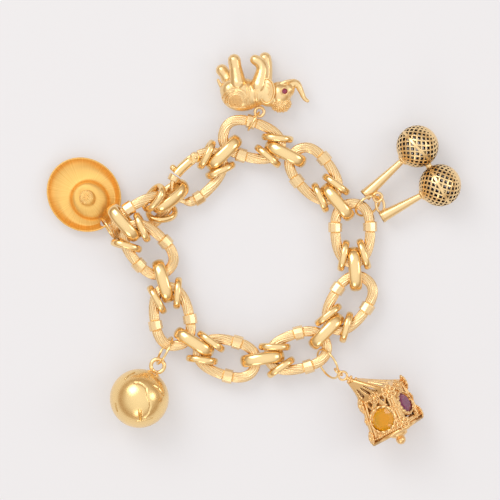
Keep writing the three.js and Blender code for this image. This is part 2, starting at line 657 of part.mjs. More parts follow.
const bezels = cageStones.map(({ side, spot, rx, ry }) => {
  const panel = windows[side];
  const at = panel.at(spot).addScaledVector(panel.normal, -0.3);
  const cup = new THREE.CylinderGeometry(1, 1, 1.4, 10).rotateX(Math.PI / 2).scale(rx + 0.85, ry + 0.85, 1);
  const bore = new THREE.CylinderGeometry(1, 1, 3.4, 10).rotateX(Math.PI / 2).scale(rx + 0.2, ry + 0.2, 1);
  const place = (geometry) => moved(geometry.applyMatrix4(panelTurn(panel)), ...at);
  const corner = (s, t) => panel.at([s, t]).addScaledVector(panel.normal, -0.35);
  const straps = [[0.12, 0.08], [0.88, 0.08]].map(([s, t]) => rod(corner(s, t), at, 0.45, 0.45, 4));
  return { cup: joined([place(cup), ...straps]), bore: place(bore) };
});

const cage = cutBy(joined([
  cutBy(
    cageSolid([
      [30.6, -39.2, 0.9], [39.2, -42.5, 7.6], [39.7, -43.3, 7.6], [40, -43.7, 7],
      [43.3, -52, 7.9], [43.5, -52.4, 8.6], [44.1, -53.8, 8.6],
    ]),
    [
      cageSolid([[34.5, -40.7, 2.6], [39.4, -42.7, 6.2], [40, -43.8, 6], [43.4, -52.3, 6.9]]),
      ...windows.map(({ solid }) => solid),
      ...slots.map(({ solid }) => solid),
    ],
  ),
  ...bezels.map(({ cup }) => cup),
  rod(vec(43.9, -53.4, cageLevel), vec(44.8, -55.8, cageLevel), 3.4, 2.2, 8),
  moved(ellipsoid(1.5, 1.5, 1.5, 8, 6), 45, -56.5, cageLevel),
  rod(vec(31.4, -39.5, cageLevel), vec(28.9, -38.2, cageLevel), 1.2, 0.8, 8),
  moved(loop(finialEyeRadius, finialEyeWire), ...finialEye),
]), bezels.map(({ bore }) => bore));
addMesh('cage', asGeometry(cage), charmGold);

cageStones.forEach(({ name, side, spot, rx, ry, material }) => {
  const panel = windows[side];
  const at = panel.at(spot);
  const mesh = addMesh(name, asGeometry(asSolid(cutStone(rx, ry, 2, 10))), material);
  mesh.position.copy(at);
  mesh.quaternion.setFromRotationMatrix(panelTurn(panel));
});

// The jump rings: each goes through a charm's eye and round a link's tube, and settles there

const flatEye = ({ at, length, width, turn = 0 }, wire) => (
  piece('eye', standingRing(length, width, wire, wire, 12, 6, 2), at.clone(), turn, -90, 0, 0)
);
const roundEye = (at, radius, wire) => {
  const across = 2 * radius + wire;
  return flatEye({ at, length: across, width: across }, wire);
};
const stillPiece = (beads) => piece('still', { beads }, vec(0, 0, 0), 0, 0, 0, 0);
const beadRow = (from, to, radius) => (
  Array.from({ length: 16 }, (_, i) => ({ at: from.clone().lerp(to, i / 15), radius }))
);

function jumpRing(name, from, to, radius, wire, lean) {
  const shape = standingRing(2 * radius + wire, 2 * radius + wire, wire, wire, wireSteps, wireSides, 2);
  const along = to.clone().sub(from).normalize();
  const level = vec(-along.y, along.x, 0).normalize();
  const across = level.applyAxisAngle(along, radians(lean));
  const turn = new THREE.Matrix4().makeBasis(along, across, along.clone().cross(across));
  const ring = piece(name, shape, from.clone().addScaledVector(along, radius), 0, 0, 0, 1);
  ring.turn.setFromRotationMatrix(turn);
  return ring;
}

const linkPoint = (index, x, y) => vec(x, y, 0).applyQuaternion(chain[index].turn).add(chain[index].at);
const jumpRings = [
  jumpRing('elephant_jump_ring', backLoop, linkPoint(0, -1.6, 5.2), 3.2, 0.8, 0),
  jumpRing('hat_jump_ring', hatAt.clone().add(hatHole), linkPoint(8, -8.4, -1.5), 3.9, 0.7, 0),
  jumpRing('maraca_jump_ring', vec(38.1, 15.2, 4.7), linkPoint(2, -8.2, 2.8), 4, 0.8, 0),
  jumpRing('ball_jump_ring', ballEye.clone().add(vec(0, 0.6, 0)), linkPoint(6, -8.6, 1.4), 4.5, 0.8, 30),
  jumpRing('cage_finial_ring', vec(27.2, -37.1, cageLevel), vec(26, -35.4, cageLevel - 1), 1.5, 0.6, 0),
  jumpRing('cage_jump_ring', vec(26, -35.6, cageLevel - 1.4), linkPoint(4, -7.6, 3.4), 4.9, 0.7, 35),
];
const eyes = [
  roundEye(backLoop, backLoopRadius, backLoopWire),
  roundEye(hatAt.clone().add(hatHole), hatHoleRadius + brimThickness / 2, brimThickness),
  ...maracaEyes.map((eye) => flatEye(eye, maracaEyeWire)),
  ...maracas.map(({ ball, end }) => stillPiece(beadRow(ball, end, 1.75))),
  roundEye(ballEye, ballEyeRadius, ballEyeWire),
  stillPiece([{ at: ballAt, radius: ballRadius }]),
  roundEye(finialEye, finialEyeRadius, finialEyeWire),
  stillPiece([
    ...beadRow(vec(29, -38.3, cageLevel), vec(32, -39.8, cageLevel), 1.2),
    { at: vec(37, -41.6, cageLevel), radius: 5 },
  ]),
  stillPiece([{ at: elephantAt.clone().add(vec(2, 0, 0)), radius: 4.2 }]),
];
chain.forEach((item) => { item.ease = 0; });
settle([...jumpRings, ...eyes, ...chain], 2 * settleRounds);
jumpRings.forEach((item) => {
  const mesh = addMesh(item.name, item.shape.geometry, polishedGold);
  mesh.position.copy(item.at);
  mesh.quaternion.copy(item.turn);
});

// The frame: the middle of the footprint is the origin, and the lowest point is on the table
group.updateMatrixWorld(true);
const box = new THREE.Box3().setFromObject(group, true);
const middle = box.getCenter(vec(0, 0, 0)).setZ(box.min.z);
group.children.forEach((mesh) => mesh.position.sub(middle));

export default group;
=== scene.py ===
import json
import math

import bpy
import bmesh
import numpy as np
from mathutils import Matrix, Vector, Quaternion


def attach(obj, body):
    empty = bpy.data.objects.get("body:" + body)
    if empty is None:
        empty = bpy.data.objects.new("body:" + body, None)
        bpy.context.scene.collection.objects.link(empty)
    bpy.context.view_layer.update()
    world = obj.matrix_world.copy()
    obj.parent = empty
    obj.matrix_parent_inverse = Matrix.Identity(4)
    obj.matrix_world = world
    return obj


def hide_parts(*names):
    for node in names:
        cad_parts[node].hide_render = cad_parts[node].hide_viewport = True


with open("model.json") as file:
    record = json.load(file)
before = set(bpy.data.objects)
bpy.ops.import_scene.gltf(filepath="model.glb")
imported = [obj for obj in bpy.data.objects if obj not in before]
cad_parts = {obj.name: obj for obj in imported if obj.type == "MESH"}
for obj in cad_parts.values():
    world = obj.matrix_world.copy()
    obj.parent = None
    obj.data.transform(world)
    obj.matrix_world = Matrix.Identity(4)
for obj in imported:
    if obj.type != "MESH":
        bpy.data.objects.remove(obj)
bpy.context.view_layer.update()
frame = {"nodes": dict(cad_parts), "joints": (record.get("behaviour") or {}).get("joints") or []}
nodes = frame["nodes"]
mm = 0.001


# Small helpers

def arr(*values):
    return np.array(values, float)


def anglesAround(count):
    return np.linspace(0, 2 * math.pi, count, endpoint=False)


def circlePath(centre, radius, count):
    return [centre + radius * arr(math.cos(t), math.sin(t), 0) for t in anglesAround(count)]


def eased(c, fullness):
    return np.sign(c) * np.abs(c) ** (2 / fullness)


def smoothCurve(points, steps):
    points = np.array(points, float)
    last = len(points) - 1
    out = []
    for i in range(last):
        before, a, b, after = points[max(i - 1, 0)], points[i], points[i + 1], points[min(i + 2, last)]
        square = 2 * before - 5 * a + 4 * b - after
        cube = -before + 3 * a - 3 * b + after
        for k in range(steps):
            t = k / steps
            out.append(0.5 * (2 * a + (b - before) * t + square * t * t + cube * t ** 3))
    out.append(points[-1])
    return np.array(out)


def nodePoints(name):
    co = np.zeros(len(nodes[name].data.vertices) * 3)
    nodes[name].data.vertices.foreach_get("co", co)
    return co.reshape(-1, 3) / mm


def nodeMiddle(name):
    points = nodePoints(name)
    return (points.max(0) + points.min(0)) / 2


def unit(v):
    return v / np.linalg.norm(v)


def mainAxes(points):
    axes = np.linalg.eigh(np.cov((points - points.mean(0)).T))[1]
    return axes[:, ::-1].T


def turned(middle, across, along, normal):
    m = np.eye(4)
    m[:3, 0], m[:3, 1], m[:3, 2], m[:3, 3] = across, along, normal, middle
    return m


def level(middle):
    return turned(middle, (1, 0, 0), (0, 1, 0), (0, 0, 1))


def inFrame(transform, point):
    return transform[:3, :3] @ point + transform[:3, 3]


def placed(transform, point):
    return turned(inFrame(transform, point), *transform[:3, :3].T)


def centredFrame(points, first, second):
    third = np.cross(first, second)
    basis = np.array([first, second, third])
    local = points @ basis.T
    centre = ((local.min(0) + local.max(0)) / 2) @ basis
    return turned(centre, first, second, third), local.max(0) - local.min(0)


def linked(name, data):
    obj = bpy.data.objects.new(name, data)
    bpy.context.scene.collection.objects.link(obj)
    return obj


def smoothShade(mesh):
    mesh.polygons.foreach_set("use_smooth", [True] * len(mesh.polygons))


def meshObject(name, verts, faces, material, transform=None, smooth=True, body="bracelet"):
    verts = np.asarray(verts, float).reshape(-1, 3)
    if transform is not None:
        verts = verts @ transform[:3, :3].T + transform[:3, 3]
    mesh = bpy.data.meshes.new(name)
    mesh.from_pydata((verts * mm).tolist(), [], [tuple(f) for f in faces])
    mesh.materials.append(material)
    mesh.validate()
    bm = bmesh.new()
    bm.from_mesh(mesh)
    bmesh.ops.recalc_face_normals(bm, faces=bm.faces)
    bm.to_mesh(mesh)
    bm.free()
    if smooth:
        smoothShade(mesh)
    obj = linked(name, mesh)
    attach(obj, body)
    return obj


def gridFaces(rows, columns, closed):
    faces = []
    for i in range(rows if closed else rows - 1):
        here, after = i * columns, ((i + 1) % rows) * columns
        for j in range(columns):
            k = (j + 1) % columns
            faces.append((here + j, after + j, after + k, here + k))
    if not closed:
        faces.append(tuple(range(columns))[::-1])
        faces.append(tuple((rows - 1) * columns + j for j in range(columns)))
    return faces


# A grid's columns go round. Its rows close on themselves or end in two caps.
def gridObject(name, grid, closed, material, transform=None, smooth=True, body="bracelet"):
    rows, columns = np.shape(grid)[:2]
    return meshObject(name, grid, gridFaces(rows, columns, closed), material, transform, smooth, body)


def spun(profile, segments):
    angles = anglesAround(segments)
    r, z = np.array(profile, float).T[:, :, None]
    return np.stack([r * np.cos(angles), r * np.sin(angles), np.repeat(z, segments, 1)], -1)


def lathePart(name, profile, segments, material, transform, body="bracelet"):
    return gridObject(name, spun(profile, segments), False, material, transform, body=body)


def joinObjects(objects, name):
    bpy.ops.object.select_all(action="DESELECT")
    for obj in objects:
        obj.select_set(True)
    bpy.context.view_layer.objects.active = objects[0]
    bpy.ops.object.join()
    objects[0].name = name
    return objects[0]


def applyModifiers(obj):
    depsgraph = bpy.context.evaluated_depsgraph_get()
    mesh = bpy.data.meshes.new_from_object(obj.evaluated_get(depsgraph))
    obj.modifiers.clear()
    obj.data = mesh
    return obj


# Materials

goldSettings = {
    "polished": {"colour": (0.98, 0.71, 0.35), "roughness": 0.16, "bump": 0.0},
    "satin": {"colour": (0.96, 0.70, 0.33), "roughness": 0.25, "bump": 0.02},
    "fluted": {"colour": (0.98, 0.72, 0.39), "roughness": 0.26, "bump": 0.0},
    "charm": {"colour": (0.96, 0.70, 0.36), "roughness": 0.29, "bump": 0.08},
    "cage": {"colour": (0.95, 0.64, 0.30), "roughness": 0.25, "bump": 0.06},
    # dark: painted shade, a near-black gold for the hollow insides of the maracas where they lie in shade
    "dark": {"colour": (0.10, 0.07, 0.07), "roughness": 0.55, "bump": 0.0},
}


def newMaterial(name):
    material = bpy.data.materials.new(name)
    material.use_nodes = True
    return material, material.node_tree, material.node_tree.nodes["Principled BSDF"]


def goldMaterial(name, colour, roughness, bump, scale=900.0):
    material, tree, shader = newMaterial(name)
    shader.inputs["Metallic"].default_value = 1.0
    shader.inputs["Base Color"].default_value = (*colour, 1)
    noise = tree.nodes.new("ShaderNodeTexNoise")
    noise.inputs["Scale"].default_value = scale
    noise.inputs["Detail"].default_value = 3.0
    coordinates = tree.nodes.new("ShaderNodeTexCoord")
    tree.links.new(coordinates.outputs["Object"], noise.inputs["Vector"])
    ramp = tree.nodes.new("ShaderNodeMapRange")
    ramp.inputs["To Min"].default_value = roughness * 0.75
    ramp.inputs["To Max"].default_value = roughness * 1.35
    tree.links.new(noise.outputs["Fac"], ramp.inputs["Value"])
    tree.links.new(ramp.outputs["Result"], shader.inputs["Roughness"])
    if bump:
        node = tree.nodes.new("ShaderNodeBump")
        node.inputs["Strength"].default_value = bump
        node.inputs["Distance"].default_value = 0.0002
        tree.links.new(noise.outputs["Fac"], node.inputs["Height"])
        tree.links.new(node.outputs["Normal"], shader.inputs["Normal"])
    return material


gold = {name: goldMaterial(name + " gold", **values) for name, values in goldSettings.items()}


def gemMaterial(name, colour, ior, glow):
    material, tree, shader = newMaterial(name)
    shader.inputs["Base Color"].default_value = (*colour, 1)
    shader.inputs["Transmission Weight"].default_value = 0.6
    shader.inputs["Roughness"].default_value = 0.02
    shader.inputs["IOR"].default_value = ior
    # Painted light: the emission is a painted glow standing in for light shining through the stone
    shader.inputs["Emission Color"].default_value = (*colour, 1)
    shader.inputs["Emission Strength"].default_value = glow
    return material


# The last value is each stone's painted glow, light through the stone painted as emission
citrineGlass = gemMaterial("citrine", (0.95, 0.52, 0.02), 1.55, 0.07)
amethystGlass = gemMaterial("amethyst", (0.42, 0.10, 0.24), 1.55, 0.03)
rubyGlass = gemMaterial("dark ruby", (0.42, 0.02, 0.12), 1.77, 0.05)
print("materials")


# The chain: reeded links

link = {
    "tube": 3.1, "length": 20.7, "width": 13.5, "egg": 0.1, "fullness": 2.4,
    "collarDiameter": 4.15, "collarLength": 2.9, "collarBack": 1.8, "collarFacets": 8,
    "collarEdge": 0.12, "seamWidth": 0.14, "seamDepth": 0.22,
    "reeds": 14, "reedDepth": 0.24, "twistLength": 58.0, "stations": 176, "sides": 98,
}
# Stations added at a collar's ends, so that its step and seam come out sharp
collarShifts = (-0.75, -0.64, -0.55, -0.46, -0.35, -0.12, -0.05, 0, 0.05, 0.12, 0.2, 0.28)


def eggPoint(u):
    x = (link["length"] - link["tube"]) / 2 * eased(np.cos(u), link["fullness"])
    y = (link["width"] - link["tube"]) / 2 * eased(np.sin(u), link["fullness"])
    y = y * (1 - link["egg"] * np.cos(u))
    return np.stack([x, y, np.zeros_like(x)], -1)


def angleAt(x):
    share = x / ((link["length"] - link["tube"]) / 2)
    return math.acos(math.copysign(abs(share) ** (link["fullness"] / 2), share))


denseAngle = np.linspace(0, 4 * math.pi, 8001)
densePoint = eggPoint(denseAngle)
denseLength = np.concatenate([[0], np.cumsum(np.linalg.norm(np.diff(densePoint, axis=0), axis=1))])
aheadAngle = 0.012


def lengthAt(u):
    return float(np.interp(u, denseAngle, denseLength))


def onCentreline(u):
    return np.stack([np.interp(u, denseAngle, densePoint[:, i]) for i in range(3)], -1)


around = lengthAt(2 * math.pi)


def sweepTube(lengths, sides, radius):
    u = np.interp(lengths, denseLength, denseAngle)
    centre = onCentreline(u)
    ahead = onCentreline(u + aheadAngle) - onCentreline(np.maximum(u - aheadAngle, 0))
    ahead /= np.linalg.norm(ahead, axis=1)[:, None]
    outward = np.stack([ahead[:, 1], -ahead[:, 0], np.zeros(len(ahead))], -1)
    theta = anglesAround(sides)
    r = radius(lengths[:, None], theta[None, :])
    return (centre[:, None, :] + outward[:, None, :] * (r * np.cos(theta))[..., None]
            + arr(0, 0, 1)[None, None, :] * (r * np.sin(theta))[..., None])


def reedRadius(s, theta):
    phase = link["reeds"] * (theta / 2 + math.pi * s / link["twistLength"])
    return link["tube"] / 2 - link["reedDepth"] * (1 - np.abs(np.sin(phase))) ** 1.2


def collarRadius(theta):
    step = 2 * math.pi / link["collarFacets"]
    away = np.mod(theta, step) - step / 2
    return link["collarDiameter"] / 2 * np.cos(step / 2) / np.cos(away)


def withCollar(r, theta, away):
    past = away - link["collarLength"] / 2
    edge = np.clip(-past / link["collarEdge"], 0, 1)
    seam = np.clip(1 - np.abs(past - link["collarEdge"]) / link["seamWidth"], 0, 1)
    return r * (1 - edge) + collarRadius(theta) * edge - link["seamDepth"] * seam


collarAngles = [angleAt(-link["collarBack"]), 2 * math.pi - angleAt(-link["collarBack"])]
collarLengths = [lengthAt(u) for u in collarAngles]


def linkRadius(s, theta):
    r = reedRadius(s, theta)
    for middle in collarLengths:
        away = np.abs(np.mod(s - middle + around / 2, around) - around / 2)
        r = withCollar(r, theta, away)
    return r


def linkGrid():
    lengths = list(np.linspace(0, around, link["stations"]))
    for middle in collarLengths:
        for side in (-1, 1):
            lengths += [middle + side * (link["collarLength"] / 2 + shift) for shift in collarShifts]
    stations = sorted(set(round(v, 4) for v in lengths if 0 <= v <= around))[:-1]
    return sweepTube(np.array(stations), link["sides"], linkRadius)


def linkFrame(name):
    points = nodePoints(name)
    x, y, z = mainAxes(points)
    if z[2] < 0:
        z = -z
    local = (points - points.mean(0)) @ np.array([x, y]).T
    if (local[:, 0] * local[:, 1] ** 2).sum() > 0:
        x = -x
    return centredFrame(points, x, np.cross(z, x))[0]


reededLink = linkGrid()
for k in range(1, 10):
    name = f"reeded_link_{k}"
    obj = gridObject("fine_" + name, reededLink, True, gold["fluted"], linkFrame(name))
    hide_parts(name)
print("reeded links")


# The rings between the links

ringShape = {"fullness": 2.3, "stations": 60, "sides": 22}


def ringGrid(length, height, wire, band, fullness, sectionFullness, stations, sides):
    def centreline(u):
        x = (length - wire) / 2 * eased(np.cos(u), fullness)
        return np.stack([x, (height - wire) / 2 * eased(np.sin(u), fullness)], -1)

    u = anglesAround(stations)
    flat = centreline(u)
    ahead = centreline(u + 0.01) - flat
    ahead /= np.linalg.norm(ahead, axis=1)[:, None]
    t = anglesAround(sides) + 0.05
    a = wire / 2 * eased(np.cos(t), sectionFullness)
    b = band / 2 * eased(np.sin(t), sectionFullness)
    grid = np.zeros((stations, sides, 3))
    grid[..., 0] = flat[:, None, 0] + ahead[:, None, 1] * a
    grid[..., 2] = flat[:, None, 1] - ahead[:, None, 0] * a
    grid[..., 1] = b
    return grid


def roundWireRing(length, width, wire, stations):
    return ringGrid(length, width, wire, wire, 2.0, 2.0, stations, 16)[..., [0, 2, 1]]


def ringFrame(name):
    points = nodePoints(name)
    x, z = mainAxes(points)[:2]
    if z[2] < 0:
        z = -z
    return centredFrame(points, x, np.cross(z, x))[0]


ringSizes = {
    "thick_ring": {"length": 13.4, "height": 8.6, "wire": 2.1, "band": 3.7, "sectionFullness": 2.1},
    "slim_ring": {"length": 9.7, "height": 7.8, "wire": 1.75, "band": 2.1, "sectionFullness": 2.3},
}
for name in sorted(nodes):
    for kind, size in ringSizes.items():
        if name.startswith(kind):
            grid = ringGrid(**size, **ringShape)
            obj = gridObject("fine_" + name, grid, True, gold["polished"], ringFrame(name))
            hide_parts(name)
print("rings")


# The jump rings

jumpRings = [charm + "_jump_ring" for charm in ("elephant", "hat", "maraca", "ball", "cage")]
for name in (*jumpRings, "cage_finial_ring"):
    points = nodePoints(name)
    x, y = mainAxes(points)[:2]
    transform, extent = centredFrame(points, x, y)
    outer = (extent[0] + extent[1]) / 2
    grid = roundWireRing(outer, outer, extent[2], 64)
    obj = gridObject("fine_" + name, grid, True, gold["polished"], transform)
    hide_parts(name)
print("jump rings")


# The clasp link: a plain tongue, two collars, a hinge and a gate

claspSettings = {
    "gateFrom": 3.3, "gateTo": -4.3, "gateBend": 7.07, "sides": 72, "eye": 1.1, "eyePlay": 0.03,
    "tongue": 1.5, "boxCollar": 3.6, "boxGap": 0.3, "boxLength": 1.9, "bodyEnd": 1.2,
    "tongueEnd": 205, "taperEnd": 222, "collarAt": 245,  # angles round the link
    "earLevel": 0.62, "pin": 0.45, "pinReach": 1.35, "neck": (1.0, 2.3), "tubeStart": 1.95,
    "thumb": 0.95, "thumbLift": 0.57,
}
hingeAngle = angleAt(claspSettings["gateFrom"])
latchAngle = angleAt(claspSettings["gateTo"])
hingeLength, latchLength = lengthAt(hingeAngle), lengthAt(latchAngle)
boxStart = latchLength + claspSettings["boxGap"]
boxEnd = boxStart + claspSettings["boxLength"]
tongueEnd, taperEnd, claspCollar = [
    lengthAt(math.radians(claspSettings[name])) for name in ("tongueEnd", "taperEnd", "collarAt")]


def claspFrame():
    joint = frame["joints"][0]
    up = -arr(*joint["axis"])
    hinge = arr(*joint["pos_m"]) / mm
    local = eggPoint(hingeAngle)
    toGate = nodeMiddle("clasp_gate") - hinge
    towards = unit(toGate - up * (toGate @ up))
    bend = math.radians(claspSettings["gateBend"])
    x = -(towards * math.cos(bend) + np.cross(up, towards) * math.sin(bend))
    y = np.cross(up, x)
    return turned(hinge - x * local[0] - y * local[1], x, y, up), local


claspTransform, hingeLocal = claspFrame()
hingeFrame = placed(claspTransform, hingeLocal)


def claspBodyRadius(s, theta):
    tongue = claspSettings["tongue"] / 2
    share = np.clip((s - tongueEnd) / (taperEnd - tongueEnd), 0, 1)
    r = tongue + (reedRadius(s, theta) - tongue) * share ** 0.8
    inBox = np.clip((boxEnd - s) / 0.1, 0, 1)
    r = r * (1 - inBox) + claspSettings["boxCollar"] / 2 * inBox
    return withCollar(r, theta, np.abs(s - claspCollar))


def gateRadius(s, theta):
    return link["tube"] / 2 + 0 * s + 0 * theta


def neckRadius(s, theta):  # flattened to fit between the hinge's ears
    slabHalf = claspSettings["eye"] / 2 - claspSettings["eyePlay"]
    slab = slabHalf / np.maximum(np.abs(np.sin(theta)), 0.001)
    return np.minimum(link["tube"] / 2 - 0.02, slab) + 0 * s


def cappedTube(name, start, end, radius, material, body, extra=(), count=160):
    lengths = np.round(np.concatenate([np.linspace(start, end, count), extra]), 4)
    lengths = np.array(sorted(set(lengths)))
    lengths = lengths[(lengths >= start) & (lengths <= end)]
    grid = sweepTube(lengths, claspSettings["sides"], radius)
    return gridObject(name, grid, False, material, claspTransform, body=body)


claspExtra = [middle + shift for middle in (tongueEnd, taperEnd) for shift in (-0.1, 0.0, 0.1)]
claspExtra += [boxStart + shift for shift in (1.78, 1.82, 1.9, 1.95, 2.0)]
claspExtra += [claspCollar + side * shift for side in (-1, 1) for shift in (1.5, 1.6, 1.75, 1.9)]
claspEnd = around + hingeLength - claspSettings["bodyEnd"]
claspPieces = [
    cappedTube("fine_clasp_body", boxStart, claspEnd, claspBodyRadius, gold["fluted"], "bracelet", claspExtra)]
ear = [(0.3, 0), (1.35, 0), (1.5, 0.15), (1.5, 0.5), (1.3, 0.65), (0.3, 0.65)]
for side in (1, -1):
    profile = [(r, side * (claspSettings["earLevel"] + z)) for r, z in ear]
    claspPieces.append(lathePart("ear", profile, 40, gold["polished"], hingeFrame))
pin = [(claspSettings["pin"], side * claspSettings["pinReach"]) for side in (-1, 1)]
claspPieces.append(lathePart("pin", pin, 24, gold["polished"], hingeFrame))
claspBody = joinObjects(claspPieces, "fine_clasp_link")
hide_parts("clasp_link")

gateTube = cappedTube("fine_clasp_gate", hingeLength + claspSettings["tubeStart"], latchLength,
                      gateRadius, gold["polished"], "gate", count=40)
gateEyeProfile = [
    (0.75, -0.5), (1.45, -0.5), (1.5, -0.4), (1.5, 0.4), (1.45, 0.5), (0.75, 0.5), (0.75, -0.5)]
gateEye = lathePart("gate_eye", gateEyeProfile, 40, gold["polished"], hingeFrame, "gate")
neckStart, neckEnd = [hingeLength + reach for reach in claspSettings["neck"]]
gateNeck = cappedTube("gate_neck", neckStart, neckEnd, neckRadius, gold["polished"], "gate", count=12)
thumbPlace = eggPoint(0.9 * latchAngle + 0.1 * hingeAngle)
thumbPlace = thumbPlace + arr(0, link["tube"] / 2 + claspSettings["thumbLift"], 0)
thumbAngles = np.linspace(0.02, math.pi - 0.02, 18)
thumbRadius = claspSettings["thumb"]
thumbProfile = [(thumbRadius * math.sin(a), -thumbRadius * math.cos(a)) for a in thumbAngles]
thumb = lathePart("thumb", thumbProfile, 28, gold["polished"], placed(claspTransform, thumbPlace), "gate")
claspGate = joinObjects([gateTube, gateNeck, gateEye, thumb], "fine_gate")
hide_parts("clasp_gate")
print("clasp")


# The charms are placed by their spots in the photo's own frame, and this takes them to the part's
cadShift = nodeMiddle("elephant_eye") - arr(10.3, 47.35, 7.775)


def ellipsoidParts(parts):
    bm = bmesh.new()
    for centre, radii, spin in parts:
        m = Matrix.Translation(Vector(centre)) @ spin.to_matrix().to_4x4() @ Matrix.Diagonal((*radii, 1))
        segments, rows = elephantSettings["segments"], elephantSettings["rows"]
        bmesh.ops.create_uvsphere(bm, u_segments=segments, v_segments=rows, radius=1, matrix=m)
    return bm


def limbParts(bm, points, radii):
    places = smoothCurve(points, elephantSettings["limbSteps"])
    shares = np.linspace(0, len(radii) - 1, len(places))
    for place, radius in zip(places, np.interp(shares, range(len(radii)), radii)):
        spot = Matrix.Translation(Vector(place))
        bmesh.ops.create_icosphere(bm, subdivisions=2, radius=float(radius), matrix=spot)


def remeshed(bm, name, voxel, smoothing, material, origin):
    bmesh.ops.scale(bm, vec=(mm, mm, mm), verts=bm.verts)
    mesh = bpy.data.meshes.new(name)
    bm.to_mesh(mesh)
    bm.free()
    obj = linked(name, mesh)
    remesh = obj.modifiers.new("remesh", "REMESH")
    remesh.mode = "VOXEL"
    remesh.voxel_size = voxel * mm
    smooth = obj.modifiers.new("smooth", "SMOOTH")
    smooth.iterations = smoothing
    applyModifiers(obj)
    obj.data.materials.clear()
    obj.data.materials.append(material)
    smoothShade(obj.data)
    obj.data.transform(Matrix.Translation(Vector(origin) * mm))
    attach(obj, "bracelet")
    return obj


def wirePath(name, points, radius, material, origin=(0, 0, 0), closed=False, sides=4):
    curve = bpy.data.curves.new(name, "CURVE")
    curve.dimensions = "3D"
    curve.bevel_depth = radius * mm
    curve.bevel_resolution = sides
    spline = curve.splines.new("POLY")
    spline.points.add(len(points) - 1)
    for item, point in zip(spline.points, points):
        item.co = (*((np.array(point, float) + np.array(origin, float)) * mm), 1)
    spline.use_cyclic_u = closed
    obj = linked(name, curve)
    depsgraph = bpy.context.evaluated_depsgraph_get()
    mesh = bpy.data.meshes.new_from_object(obj.evaluated_get(depsgraph))
    bpy.data.objects.remove(obj)
    mesh.materials.clear()
    mesh.materials.append(material)
    smoothShade(mesh)
    piece = linked(name, mesh)
    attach(piece, "bracelet")
    return piece


# The elephant

elephantSettings = {
    "voxel": 0.15, "smoothing": 14, "limbSteps": 14, "segments": 40, "rows": 24,
    "bandLift": 0.10, "bandWire": 0.17, "medallionAt": (-1.95, -2.1),
    "earAt": (7.4, 1.0), "earSize": (2.25, 3.75),
}
goldenAngle = 2.39996
elephantOrigin = arr(-2.4, 46.45, 4.3) + cadShift
still = Quaternion((1, 0, 0, 0))
elephantBulks = [
    ((0, 0, 0), (6.3, 5.0, 4.0), still),
    ((-3.4, 1.4, 0.4), (3.2, 3.4, 3.5), still),
    ((4.6, 0.6, 0.3), (3.6, 4.0, 3.6), still),
    ((11.3, 0.3, 0), (3.6, 3.7, 3.5), still),
    ((8.4, -0.2, 0), (4.0, 3.5, 3.0), still),
    ((13.3, 1.5, 0), (2.5, 2.5, 2.4), still),
    ((11.6, -2.7, 0), (3.0, 2.5, 2.7), still),
    ((7.4, 1.0, 3.1), (2.3, 3.8, 0.75), Quaternion((0, 1, 0), math.radians(-12))),
    ((7.4, 1.0, -3.1), (2.3, 3.8, 0.75), Quaternion((0, 1, 0), math.radians(12))),
]
elephantLimbs = [
    ([[-1.2, 3.4, 2], [-1.9, 8, 2.1], [-2.3, 10.2, 2.2]], [2.6, 1.9, 2.0]),
    ([[-3.4, 3, -1.8], [-4.9, 6, -1.9], [-6.0, 7.4, -2]], [2.5, 1.85, 1.9]),
    ([[5, 2.6, 1.8], [6.1, 7, 2.1], [5.6, 9.2, 2.1], [3.9, 10.4, 2.1]], [2.7, 2.0, 1.8, 1.6]),
    ([[6.6, 3, -1.8], [7.3, 8, -2], [6.9, 11, -2]], [2.5, 1.9, 1.9]),
    ([[12.8, 2, 0], [14.6, 3, 0], [16.4, 3.3, 0], [17.6, 1.2, 0], [18.6, -1.0, 0], [19.7, -1.9, 0]],
     [2.1, 1.5, 1.15, 0.9, 0.7, 0.55]),
    ([[10.5, 2.6, 1.6], [13.2, 3.9, 1.9], [16, 4.65, 1.6]], [0.6, 0.5, 0.16]),
    ([[10.5, 2.6, -1.6], [13.2, 3.9, -1.9], [16, 4.65, -1.6]], [0.6, 0.5, 0.16]),
    ([[-4.8, 1, 0.6], [-6.3, 2.6, 0.8], [-7.2, 4.4, 0.8]], [0.9, 0.6, 0.45]),
]


def bodyTop(x, y, lift):
    top = 0.0
    for (cx, cy, cz), (rx, ry, rz), spin in elephantBulks[:3]:
        share = 1 - ((x - cx) / rx) ** 2 - ((y - cy) / ry) ** 2
        if share > 0:
            top = max(top, cz + rz * math.sqrt(share))
    return top + lift


elephantMesh = ellipsoidParts(elephantBulks)
for points, radii in elephantLimbs:
    limbParts(elephantMesh, points, radii)
elephantPieces = [remeshed(
    elephantMesh, "elephant_body", elephantSettings["voxel"], elephantSettings["smoothing"],
    gold["charm"], elephantOrigin)]


def overBody(path, radius):
    points = [(x, y, bodyTop(x, y, elephantSettings["bandLift"])) for x, y in path]
    return wirePath("band", points, radius, gold["charm"], elephantOrigin)


def medallionArc(rx, ry, start, end, count):
    x, y = elephantSettings["medallionAt"]
    return [(x + rx * math.cos(t), y + ry * math.sin(t)) for t in np.linspace(start, end, count)]


def earLine(share, height, lean, start, end, count):
    x, y = elephantSettings["earAt"]
    rx, ry = elephantSettings["earSize"]
    return [(x + rx * share * math.cos(t), y + ry * share * math.sin(t), height + lean * math.cos(t))
            for t in np.linspace(start, end, count)]


# Distances and angles of spots spread evenly over a disc
def sunflower(count, radius):
    return [(radius * math.sqrt((k + 0.5) / count), k * goldenAngle) for k in range(count)]


